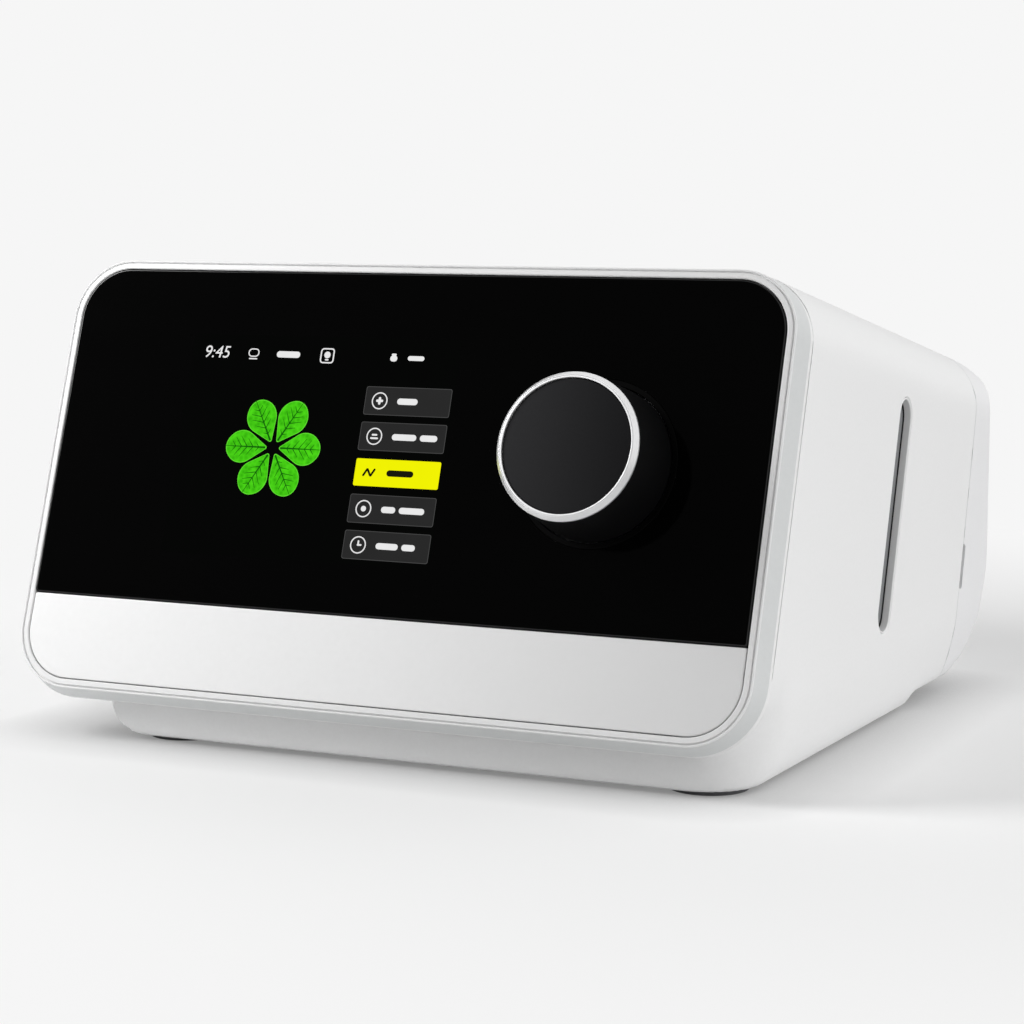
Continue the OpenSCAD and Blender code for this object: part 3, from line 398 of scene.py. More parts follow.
FILTER = axes((-1, 0, 0), (0, 0, 1), (0, 1, 0), (FILTER_X, REAR_Y, REAR_MID_Z))
SOCKET_X, SOCKET_R, SOCKET_OUT_R = -54.0, 2.9, 5.5
SOCKET = axes((-1, 0, 0), (0, 0, 1), (0, 1, 0), (SOCKET_X, REAR_Y, REAR_MID_Z))


def circle(r):
    return box_corners(-r, r, -r, r, r - 0.005)


cut(housing, flared_hole(lengthwise(SLOT_W, SLOT_LEN), WALL + SPARE, FLARE, SLOT, (SLOT_W, SLOT_LEN)))
button_hole_r = BUTTON_R + MOVE_GAP
cut(housing, flared_hole(circle(button_hole_r), WALL + SPARE, FLARE, BUTTON, (2 * button_hole_r,) * 2))
port_hole_r = PORT_R + 1.0
cut(housing, flared_hole(circle(port_hole_r), WALL + SPARE, PORT_FLARE, PORT, (2 * port_hole_r,) * 2))
card_hole = (CARD_W + 2 * MOVE_GAP, CARD_T + 2 * MOVE_GAP)
cut(housing, flared_hole(centred(*card_hole, 0.5), WALL + SPARE, FLARE, CARD, card_hole))
PLATE = (-44.0, 66.5, 12.0, 118.0, 9.0)
cut(housing, prism(box_corners(*PLATE), BASE_Z - SPARE, BASE_Z + WALL + 1))
FEET_X, FEET_Y, FOOT_R, FOOT_H, FOOT_IN = (-54.5, 77.4), (17.1, 106.6), 9.0, 2.0, 0.8
POSTS_X, POSTS_Y, HEAD_R = (-59.0, 79.9), (35.6, 90.6), 3.15
SPEAKER_X, SPEAKER_Y, SOUND_RING_R, SOUND_HOLE_R = 72.9, 72.1, 5.0, 1.0
FEET_AT = [(x, y) for x in FEET_X for y in FEET_Y]
HEADS_AT = [(x, y) for x in POSTS_X for y in POSTS_Y]
SOUND_HOLES, FOOT_GAP, THROUGH = 6, 0.2, 10
SOUND_AT = [(SPEAKER_X + SOUND_RING_R * math.cos(math.tau * i / SOUND_HOLES),
             SPEAKER_Y + SOUND_RING_R * math.sin(math.tau * i / SOUND_HOLES)) for i in range(SOUND_HOLES)]
for places, r, high in ((FEET_AT, FOOT_R + FOOT_GAP, BASE_Z + FOOT_IN), (HEADS_AT, HEAD_R, THROUGH),
                        (SOUND_AT, SOUND_HOLE_R, THROUGH)):
    for x, y in places:
        cut(housing, prism([(x + c[0], y + c[1], c[2]) for c in circle(r)], 0, high, segments=8))
filter_hole = (FILTER_W + 2 * MOVE_GAP, FILTER_H + 2 * MOVE_GAP)
cut(rear, prism(centred(*filter_hole, 2.5), -12, 8, FILTER))
cut(rear, flared_hole(circle(SOCKET_OUT_R + SEAT_GAP), WALL + SPARE, FLARE, SOCKET, (2 * SOCKET_OUT_R,) * 2))
NOTCH_UP, NOTCH_LEN, NOTCH_W, NOTCH_DEEP = 13.5, 11.5, 2.2, 1.0
notch_at = axes(TO_REAR, (0, ss, sc), (1, 0, 0), SEAM_AT + Vector((HALF_W - NOTCH_DEEP, 0, 0)))
cut(rear, prism(box_corners(-SPARE, NOTCH_W, NOTCH_UP, NOTCH_UP + NOTCH_LEN, 0.8), 0, NOTCH_DEEP + SPARE,
                notch_at))
for part in (housing, rear):
    smooth(part, 32)

# -------- front: bezel, glass and panel
INSERT_HALF, INSERT_H, INSERT_R = 89.7, 99.5, 12.0
BORDER_LOW, BORDER_TOP = 3.9, 3.0
PANEL_H = 19.8
GLASS_T = 2.0


def insert_outline(g):
    return box_corners(-INSERT_HALF - g, INSERT_HALF + g, -g, INSERT_H + g, INSERT_R + g)


def rim_outline(g):
    return box_corners(-HALF_W - g, HALF_W + g, -BORDER_LOW - g, INSERT_H + BORDER_TOP + g, EDGE_R + g)


# Inwards over the ring, each step's offset from an outline and its height: the rim at the case, the side
# band up to a rounded ridge, a fine groove, the flat lip and the seat of the glass
SEAT_IN, BEZEL_BACK, GLASS_SEAT = -3, -BEZEL_DEPTH - 0.12, -GLASS_T - 0.05
RIM_STEPS = ((-0.16, BEZEL_BACK), (-0.1, -BEZEL_DEPTH), (-0.1, -5.1), (-0.2, -4.8))
LIP_STEPS = ((2.38, -0.36), (2.3, -0.1), (2.2, 0), (2.0, 0), (1.9, -0.1), (1.86, -0.5), (1.56, -0.5),
             (1.5, -0.06), (1.4, 0), (0.45, 0), (0.25, -0.2), (0.25, GLASS_SEAT), (SEAT_IN, GLASS_SEAT))
bezel = loft([(insert_outline(SEAT_IN), BEZEL_BACK)] + [(rim_outline(g), z) for g, z in RIM_STEPS]
             + [(insert_outline(g), z) for g, z in LIP_STEPS], FACE, ring=True, segments=20)
smooth(bezel, 35)


def plate_levels(outline, chamfer, thick):
    return [(outline(-chamfer), 0), (outline(-chamfer * 0.3), -chamfer * 0.3), (outline(0), -chamfer),
            (outline(0), -thick)]


def glass_outline(g):
    low = PANEL_H + 0.1
    return [(-INSERT_HALF - g, low - g, 0.4), (INSERT_HALF + g, low - g, 0.4),
            (INSERT_HALF + g, INSERT_H + g, INSERT_R + g), (-INSERT_HALF - g, INSERT_H + g, INSERT_R + g)]


def panel_outline(g):
    high = PANEL_H - 0.1
    return [(-INSERT_HALF - g, -g, INSERT_R + g), (INSERT_HALF + g, -g, INSERT_R + g),
            (INSERT_HALF + g, high + g, 0.4), (-INSERT_HALF - g, high + g, 0.4)]


KNOB_X, KNOB_V, KNOB_R, SKIRT_R, KNOB_H, COLLAR_R = 49.9, 57.4, 16.4, 17.4, 17.1, 19.0
KNOB = FACE @ Matrix.Translation(Vector((KNOB_X, KNOB_V, 0)) * MM)
glass = loft(plate_levels(glass_outline, 0.3, GLASS_T), FACE, segments=20)
cut(glass, flared_hole(circle(COLLAR_R + 0.12), GLASS_T + 1, 0.1, KNOB, (2 * COLLAR_R,) * 2))
smooth(glass)
panel = loft(plate_levels(panel_outline, 0.4, GLASS_T), FACE, segments=20)
smooth(panel)

# -------- knob
RING_LEN, RING_W, RING_BEVEL, CAP_SINK, CAP_T = 1.5, 1.45, 0.85, 0.45, 1.5
ring_z = KNOB_H - RING_LEN
cap_r = KNOB_R - RING_W - 0.12
cap_top = KNOB_H - CAP_SINK
collar = lathe([(SKIRT_R + MOVE_GAP, -GLASS_T, 0), (COLLAR_R, -GLASS_T, 0), (COLLAR_R, 0, 0.12),
                (SKIRT_R + MOVE_GAP, 0, 0.12)], KNOB)
SHAFT_R, SHAFT_END, HUB_R, HOLLOW_R, HOLLOW_FOOT_R, HOLLOW_TOP, SKIRT_Z = 3, 5, 6, 13.4, 15.6, 11.2, -0.85
knob = lathe([(SHAFT_R, SKIRT_Z, 0), (HUB_R, SKIRT_Z, 0), (HUB_R, HOLLOW_TOP, 0), (HOLLOW_R, HOLLOW_TOP, 0),
              (HOLLOW_FOOT_R, SKIRT_Z, 0), (SKIRT_R, SKIRT_Z, 0.3), (SKIRT_R, 1, 0.4),
              (KNOB_R - 0.05, ring_z, 0.1), (cap_r, ring_z, 0), (cap_r, cap_top - CAP_T, 0),
              (0, cap_top - CAP_T, 0), (0, cap_top - CAP_T - SHAFT_END, 0),
              (SHAFT_R, cap_top - CAP_T - SHAFT_END, 0)], KNOB)
# The ring's inner lip, a fine groove and a broad outer chamfer
lip, RING_GROOVE = KNOB_R - RING_BEVEL, 0.3
ring = lathe([(KNOB_R - RING_W, ring_z + 0.03, 0), (KNOB_R, ring_z + 0.03, 0.05),
              (KNOB_R, KNOB_H - RING_BEVEL - 0.1, 0.1), (lip, KNOB_H, 0.1), (lip - 0.06, KNOB_H, 0.02),
              (lip - 0.08, KNOB_H - RING_GROOVE, 0), (lip - 0.2, KNOB_H - RING_GROOVE, 0),
              (lip - 0.22, KNOB_H, 0.03), (KNOB_R - RING_W + 0.08, KNOB_H, 0.04),
              (KNOB_R - RING_W, KNOB_H - 0.08, 0.03)], KNOB)
cap = lathe([(0, cap_top - CAP_T + 0.02, 0), (cap_r, cap_top - CAP_T + 0.02, 0), (cap_r, cap_top, 0.2),
             (0, cap_top, 0)], KNOB)
for part in (collar, knob, ring, cap):
    smooth(part)

# -------- slot insert, button and outlet
SLOT_DEEP, SLOT_RIM = 1.9, 0.35


def slot_level(g):
    return lengthwise(SLOT_W + 2 * g, SLOT_LEN + 2 * g)


# The insert's flange behind the wall, its thin rim, the walls and the groove round the floor
SLOT_STEPS = ((1.5, -WALL - 1.2), (1.5, -WALL - 0.02), (-0.12, -WALL - 0.02), (-0.12, -0.25), (-0.3, -0.1),
              (-SLOT_RIM, -0.1), (-SLOT_RIM - 0.15, -0.25), (-SLOT_RIM - 0.15, -SLOT_DEEP + 0.1),
              (-SLOT_RIM - 0.15, -SLOT_DEEP - 1), (-SLOT_RIM - 0.85, -SLOT_DEEP - 1),
              (-SLOT_RIM - 0.85, -SLOT_DEEP - 0.1), (-SLOT_RIM - 1, -SLOT_DEEP))
slot_trim = loft([(slot_level(g), z) for g, z in SLOT_STEPS], SLOT, segments=14)
smooth(slot_trim)
# The key's flange under the case, and its shallow finger dish
KEY_FLANGE_R, KEY_BACK, KEY_SEAT = 9.5, -4.35, -2.85
button = lathe([(0, KEY_BACK, 0), (KEY_FLANGE_R, KEY_BACK, 0), (KEY_FLANGE_R, KEY_SEAT, 0),
                (BUTTON_R, KEY_SEAT, 0), (BUTTON_R, 0, 0.5), (6.6, -0.05, 0.4), (4.5, -0.35, 2),
                (0, -0.45, 0)], BUTTON)
# The spigot's sleeve end, its flange behind the wall and its collar in the hole
PORT_BACK, PORT_FLANGE_R, PORT_SEAT, PORT_FACE, PORT_COLLAR_R = -16.5, 15, -4.5, -2.55, 11.8
outlet = lathe([(AIRWAY_R, PORT_BACK, 0), (PORT_R, PORT_BACK, 0), (PORT_R, PORT_SEAT, 0),
                (PORT_FLANGE_R, PORT_SEAT, 0), (PORT_FLANGE_R, PORT_FACE, 0),
                (PORT_COLLAR_R, PORT_FACE, 0), (PORT_COLLAR_R, -0.1, 0.4), (PORT_R - 0.05, -0.1, 0),
                (PORT_R - 0.05, 4, 0.3),
                (PORT_R - 0.3, 4.6, 0.3), (PORT_R - 0.5, PORT_OUT - 2, 0.5), (PORT_R, PORT_OUT - 1.4, 0.5),
                (PORT_R, PORT_OUT, 0.7), (AIRWAY_R, PORT_OUT, 0.5)], PORT)
for part in (button, outlet):
    smooth(part)

# -------- filter cover, socket, base plate and feet
COVER_T, COVER_OUT = 4.2, 15.8
cover = copy_of(form)
join_with(cover, prism(centred(FILTER_W, FILTER_H, 2), -COVER_T, COVER_OUT, FILTER), "INTERSECT")
bpy.data.meshes.remove(form.data)
SLITS, SLIT_W, SLIT_PITCH, SLIT_IN = 4, 2.0, 4.5, 6
for i in range(SLITS):
    up = (i - (SLITS - 1) / 2) * SLIT_PITCH
    cut(cover, prism(box_corners(-FILTER_W / 2 + SLIT_IN, FILTER_W / 2 - SLIT_IN, up - SLIT_W / 2,
                                 up + SLIT_W / 2, SLIT_W / 2 - HAIR), -14, 6, FILTER, 6))
smooth(cover, 32)
PIN_END, BODY_R, BODY_Z, SHOULDER_Z = -9.5, 8, -12.5, -5.5
socket = lathe([(SOCKET_R, PIN_END, 0), (SOCKET_R, -0.6, 0), (SOCKET_R + 0.5, -0.1, 0.1),
                (SOCKET_OUT_R - 0.3, -0.1, 0.1), (SOCKET_OUT_R, -0.4, 0.1), (SOCKET_OUT_R, SHOULDER_Z, 0),
                (BODY_R, SHOULDER_Z, 0), (BODY_R, BODY_Z, 0), (0, BODY_Z, 0), (0, -1.6, 0),
                (0.7, -1.6, 0.3), (1, -2, 0), (1, PIN_END, 0)], SOCKET)
smooth(socket)

x0, x1, y0, y1, plate_r = PLATE


def plate_outline(g):
    return box_corners(x0 - g, x1 + g, y0 - g, y1 + g, plate_r + g)


# A shallow dish in the middle, a flat border and a small step at the edge
PLATE_STEPS = ((-6, 0.9), (-5.4, 0.3), (-4, 0.02), (-0.7, 0.02), (-0.25, 0.4), (-0.25, WALL))
plate = loft([(plate_outline(g), BASE_Z + z) for g, z in PLATE_STEPS])
smooth(plate)

foot = lathe([(0, 0.25, 0), (FOOT_R - 2.2, 0.25, 0.3), (FOOT_R - 1.6, 0, 0.3), (FOOT_R - 0.3, 0, 0.2),
              (FOOT_R - 0.1, 0.9, 0.1), (FOOT_R - 0.4, 1.0, 0), (FOOT_R - 0.4, 1.15, 0), (FOOT_R, 1.2, 0.1),
              (FOOT_R, FOOT_H + FOOT_IN, 0), (0, FOOT_H + FOOT_IN, 0)])


def copies(obj, places):
    """Copies a piece to each matrix, each with its own mesh, and joins the copies; the piece is used up."""
    made = [put(copy_of(obj), m) for m in places]
    bpy.data.meshes.remove(obj.data)
    return joined(made)


def joined(parts):
    only(*parts)
    bpy.ops.object.join()
    return bpy.context.object


feet = smooth(copies(foot, [Matrix.Translation(Vector((x, y, 0)) * MM) for x, y in FEET_AT]))

# The memory card: a grip ridge at the end that shows, a step and a cut corner
CARD_END, CARD_LEN, CARD_HALF, CUT_CORNER = -0.8, 32.0, 1.05, 4
card = prism(centred(CARD_W, 2 * CARD_HALF, 0.3), CARD_END - CARD_LEN, CARD_END, segments=4)
cut(card, prism(box_corners(-CARD_W / 2 + 2, CARD_W / 2 - 2, 0.7, 2, 0), CARD_END - 3.2, CARD_END - 1.2))
cut(card, prism(box_corners(CARD_W / 2 - CUT_CORNER, CARD_W, -2, 2), CARD_END - 40, CARD_END - 28))
put(card, CARD)
smooth(card)

# -------- lit screen
SCREEN_U, SCREEN_V, SCREEN_W, SCREEN_H = -21.9, 57.8, 70.1, 52.6
TILE_U, TILE_W, TILE_H, TILES_V = 1.75, 21.84, 6.65, (69.5, 61.2, 52.8, 44.4, 36.05)
LIT_TILE = 2
TILE_RIM, TILE_CORNER = 0.16, 0.5
ICON_IN, ICON_R, ICON_LINE = 3.8, 2.0, 0.28
STATUS_V = 79.65
LAYER, SUNK = 0.02, 0.02


def sheet(u0, u1, v0, v1, r, layer, segments=4, turn=0.0):
    """A thin lit plate on the glass, in the given layer over it; turn is about its own middle."""
    middle = Vector(((u0 + u1) / 2, (v0 + v1) / 2, 0)) * MM
    half = ((u1 - u0) / 2, (v1 - v0) / 2)
    return prism(box_corners(-half[0], half[0], -half[1], half[1], min(r, min(half) - HAIR)), -SUNK,
                 layer * LAYER, FACE @ Matrix.Translation(middle)
                 @ Matrix.Rotation(math.radians(turn), 4, "Z"), segments)


def bar(u, v, length, thick, layer=4, turn=0.0):
    return sheet(u - length / 2, u + length / 2, v - thick / 2, v + thick / 2, thick / 2, layer, 4, turn)


def hoop(u, v, r, line, layer=4):
    return lathe([(r - line, -SUNK, 0), (r, -SUNK, 0), (r, layer * LAYER, 0), (r - line, layer * LAYER, 0)],
                 FACE @ Matrix.Translation(Vector((u, v, 0)) * MM), 40)


def frame_of(u, v, w, h, line, r, layer=4):
    """An outlined round-cornered box."""
    box = sheet(u - w / 2, u + w / 2, v - h / 2, v + h / 2, r, layer)
    hole = sheet(u - w / 2 + line, u + w / 2 - line, v - h / 2 + line, v + h / 2 - line, r - line, layer + 2)
    put(hole, Matrix.Translation(FACE.to_3x3() @ Vector((0, 0, -LAYER * MM / 2))))
    return cut(box, hole)


screen = sheet(SCREEN_U - SCREEN_W / 2, SCREEN_U + SCREEN_W / 2, SCREEN_V - SCREEN_H / 2,
               SCREEN_V + SCREEN_H / 2, 0.6, 0.5)
rims, tiles, marks, dark_marks = [], [], [], []
# Each tile holds a simple icon and plain rounded dashes. An icon is built of bars, each given by its place
# from the icon's middle, length, thickness, layer and turn
DASHES = ((5.2,), (6.2, 4.4), (6.8,), (3.6, 6.4), (5.6, 3.4))
DASH_IN, DASH_T, DASH_GAP = 8.3, 1.45, 0.9
ICONS = (((0, 0, 1.8, 0.6, 4, 0), (0, 0, 1.8, 0.6, 4.5, 90)),
         ((0, -0.45, 2, 0.42, 4, 0), (0, 0.35, 1.4, 0.42, 4, 0)),
         ((-0.95, 0, 2.1, 0.5, 4, 60), (0, 0, 2.1, 0.5, 4.5, -60), (0.95, 0, 2.1, 0.5, 4, 60)),
         ((0, 0, 1.3, 1.3, 4, 0),),
         ((0.3, 0, 1.2, 0.4, 4, 0), (0, 0.4, 1.3, 0.4, 4.5, 90)))
left, right = TILE_U - TILE_W / 2, TILE_U + TILE_W / 2
icon_u = left + ICON_IN
for i, v in enumerate(TILES_V):
    is_lit = i == LIT_TILE
    on_tile = dark_marks if is_lit else marks
    if not is_lit:
        rims.append(sheet(left, right, v - TILE_H / 2, v + TILE_H / 2, TILE_CORNER, 1))
    tile = sheet(left + TILE_RIM, right - TILE_RIM, v - TILE_H / 2 + TILE_RIM, v + TILE_H / 2 - TILE_RIM,
                 TILE_CORNER - 0.1, 2)
    if is_lit:
        lit_tile = tile
    else:
        tiles.append(tile)
        on_tile.append(hoop(icon_u, v, ICON_R, ICON_LINE))
    at = left + DASH_IN
    for length in DASHES[i]:
        on_tile.append(bar(at + length / 2, v, length, DASH_T))
        at += length + DASH_GAP
    on_tile += [bar(icon_u + du, v + dv, *rest) for du, dv, *rest in ICONS[i]]
# Status row: a clock time, a cloud-like outline, a boxed bell and a page mark, with plain dashes between
marks += [frame_of(-40.3, STATUS_V + 0.2, 2.9, 2.0, 0.25, 0.95), bar(-40.3, STATUS_V - 1.25, 2.2, 0.3),
          bar(-31.0, STATUS_V, 6.2, 1.5),
          frame_of(-20.7, STATUS_V, 3.6, 3.6, 0.3, 0.8), bar(-20.7, STATUS_V + 0.2, 1.6, 1.6),
          bar(-20.7, STATUS_V - 0.95, 0.9, 0.35), bar(-3.4, STATUS_V - 0.15, 1.8, 1.4),
          bar(-3.4, STATUS_V + 0.75, 1.2, 0.5), bar(2.3, STATUS_V, 4.2, 1.1)]
CLOCK_U, CLOCK_SIZE, CLOCK_SHEAR = -50.3, 4.1, 0.15
bpy.ops.object.text_add()
clock = bpy.context.object
clock.data.body = "9:45"
clock.data.size = CLOCK_SIZE * MM
clock.data.shear = CLOCK_SHEAR
clock.data.align_x, clock.data.align_y = "CENTER", "CENTER"
clock.data.extrude = LAYER * MM
bpy.ops.object.convert(target="MESH")
clock = bpy.context.object
edit(clock)
bpy.ops.mesh.select_all(action="SELECT")
bpy.ops.mesh.remove_doubles(threshold=0.001 * MM)
leave()
marks.append(put(clock, FACE @ Matrix.Translation(Vector((CLOCK_U, STATUS_V, 3 * LAYER)) * MM)))
screen_rims, screen_tiles, screen_marks, screen_dark_marks = (
    joined(group) for group in (rims, tiles, marks, dark_marks))

# A rosette of six rounded green petals, each with a pale rim, a main vein and side veins
ROSETTE_AT, PETALS, PETAL_FROM, PETAL_TO, PETAL_HALF = (-31.3, 57.4), 6, 1.3, 13.9, 5.1
PETAL_WIDE, PETAL_ROOT_R, PETAL_SIDE_R, PETAL_END_R = 0.6, 0.5, 4.0, 3.4
RIM_W, SHOULDER = 0.22, 1.3
VEIN_HALF, VEIN_TIP, SIDE_HALF, SIDE_TIP = 0.22, 0.05, 0.11, 0.05
SIDE_REACH, SIDE_FROM, SIDE_STEP, SIDE_TURN = (1.3, 2.5, 3.1, 2.7, 1.5), 2.4, 1.55, 52


def petal_outline(g):
    wide_at = PETAL_FROM + (PETAL_TO - PETAL_FROM) * PETAL_WIDE
    return [(0, PETAL_FROM - g, PETAL_ROOT_R), (PETAL_HALF + g, wide_at, PETAL_SIDE_R),
            (0, PETAL_TO + g, PETAL_END_R), (-PETAL_HALF - g, wide_at, PETAL_SIDE_R)]


def petal_places():
    middle = FACE @ Matrix.Translation(Vector((*ROSETTE_AT, 0)) * MM)
    return [middle @ Matrix.Rotation(math.tau * (i + 0.5) / PETALS, 4, "Z") for i in range(PETALS)]


petal_rims = copies(prism(petal_outline(0), -SUNK, LAYER, segments=8), petal_places())
petals = copies(loft([(petal_outline(-RIM_W), 0), (petal_outline(-RIM_W), 1.5 * LAYER),
                      (petal_outline(-SHOULDER), 3 * LAYER)], segments=8), petal_places())
veins = [prism([(-VEIN_HALF, PETAL_FROM + 0.7, 0), (VEIN_HALF, PETAL_FROM + 0.7, 0),
                (VEIN_TIP, PETAL_TO - 1.2, 0), (-VEIN_TIP, PETAL_TO - 1.2, 0)], 0, 3.6 * LAYER)]
for i, reach in enumerate(SIDE_REACH):
    for side in (-1, 1):
        root = Vector((0, PETAL_FROM + SIDE_FROM + SIDE_STEP * i, 0)) * MM
        turned = Matrix.Rotation(math.radians(90 - side * SIDE_TURN), 4, "Z")
        veins.append(prism([(0, -SIDE_HALF, 0), (reach, -SIDE_TIP, 0), (reach, SIDE_TIP, 0),
                            (0, SIDE_HALF, 0)], 0, 3.4 * LAYER, Matrix.Translation(root) @ turned))
petal_veins = copies(joined(veins), petal_places())

# -------- camera, floor and light
CAMERA_AT = (0.29134, -0.60490, 0.12511)
CAMERA_HEADING, CAMERA_PITCH, CAMERA_ROLL = 25.37, -6.6, 0.22
CAMERA_LENS, SENSOR_W, CLIP_END = 93.95, 36, 50
FLOOR_SIZE = 40

bpy.ops.object.camera_add()
camera = bpy.context.object
camera.matrix_world = (Matrix.Translation(CAMERA_AT) @ Matrix.Rotation(math.radians(CAMERA_HEADING), 4, "Z")
                       @ Matrix.Rotation(math.radians(90 + CAMERA_PITCH), 4, "X")
                       @ Matrix.Rotation(math.radians(CAMERA_ROLL), 4, "Z"))
camera.data.lens = CAMERA_LENS
camera.data.sensor_width = SENSOR_W
camera.data.clip_end = CLIP_END
scene.camera = camera

bpy.ops.mesh.primitive_plane_add(size=FLOOR_SIZE)
floor = bpy.context.object
floor.name = "floor"


def linear(hex_colour):
    """The linear RGBA of an sRGB hex colour."""
    parts = [int(hex_colour[i:i + 2], 16) / 255 for i in (1, 3, 5)]
    return tuple(c / 12.92 if c <= 0.04045 else ((c + 0.055) / 1.055) ** 2.4 for c in parts) + (1.0,)


def add(tree, kind, settings=None, **links):
    """Adds a node, sets its properties and sockets by name, and links its inputs."""
    node = tree.nodes.new(kind)
    for key, value in (settings or {}).items():
        if key in node.inputs:
            node.inputs[key].default_value = value
        else:
            setattr(node, key, value)
    for key, source in links.items():
        tree.links.new(source, node.inputs[key.replace("_", " ")])
    return node


def finish(name, colour, roughness, second=None, grain=1.0, bump=0.0, swing=0.04, pattern="Noise",
           stretch=(1, 1, 1), glow=False, settings=None, fade=None, **sockets):
    """One real finish. Its pattern's grain is in millimetres: it tints the colour towards the second one,
    swings the roughness and stands bump millimetres proud. A glow is a lit picture, whose colour shows as
    written. A fade (colour, x0, x1) is painted shade: it turns the colour to another across x, in
    millimetres of the frame."""
    mat = bpy.data.materials.new(name)
    mat.use_nodes = True
    tree = mat.node_tree
    tree.nodes.clear()
    place = add(tree, "ShaderNodeTexCoord")
    mapped = add(tree, "ShaderNodeMapping", {"Scale": [f / (grain * MM) for f in stretch]},
                 Vector=place.outputs["Object"])
    grains = add(tree, "ShaderNodeTex" + pattern, {"Scale": 1.0, **(settings or {})},
                 Vector=mapped.outputs["Vector"])
    level = grains.outputs["Distance" if pattern == "Voronoi" else "Fac"]
    tone = add(tree, "ShaderNodeMixRGB", {"Color1": linear(colour), "Color2": linear(second or colour)},
               Fac=level)
    if fade:
        side = add(tree, "ShaderNodeSeparateXYZ", None, Vector=place.outputs["Object"])
        along = add(tree, "ShaderNodeMapRange", {"interpolation_type": "SMOOTHSTEP",
                                                 "From Min": fade[1] * MM, "From Max": fade[2] * MM},
                    Value=side.outputs["X"])
        tone = add(tree, "ShaderNodeMixRGB", {"Color2": linear(fade[0])}, Fac=along.outputs["Result"],
                   Color1=tone.outputs["Color"])
    shader = add(tree, "ShaderNodeBsdfPrincipled", {"Roughness": roughness, **sockets})
    if glow:
        shader.inputs["Base Color"].default_value = (0, 0, 0, 1)
        shader.inputs["Emission Strength"].default_value = 1.0
    tree.links.new(tone.outputs["Color"], shader.inputs["Emission Color" if glow else "Base Color"])
    if swing:
        rough = add(tree, "ShaderNodeMapRange", {"To Min": roughness - swing, "To Max": roughness + swing},
                    Value=level)
        tree.links.new(rough.outputs["Result"], shader.inputs["Roughness"])
    if bump:
        proud = add(tree, "ShaderNodeBump", {"Distance": bump * MM}, Height=level)
        tree.links.new(proud.outputs["Normal"], shader.inputs["Normal"])
    add(tree, "ShaderNodeOutputMaterial", Surface=shader.outputs["BSDF"])
    return mat


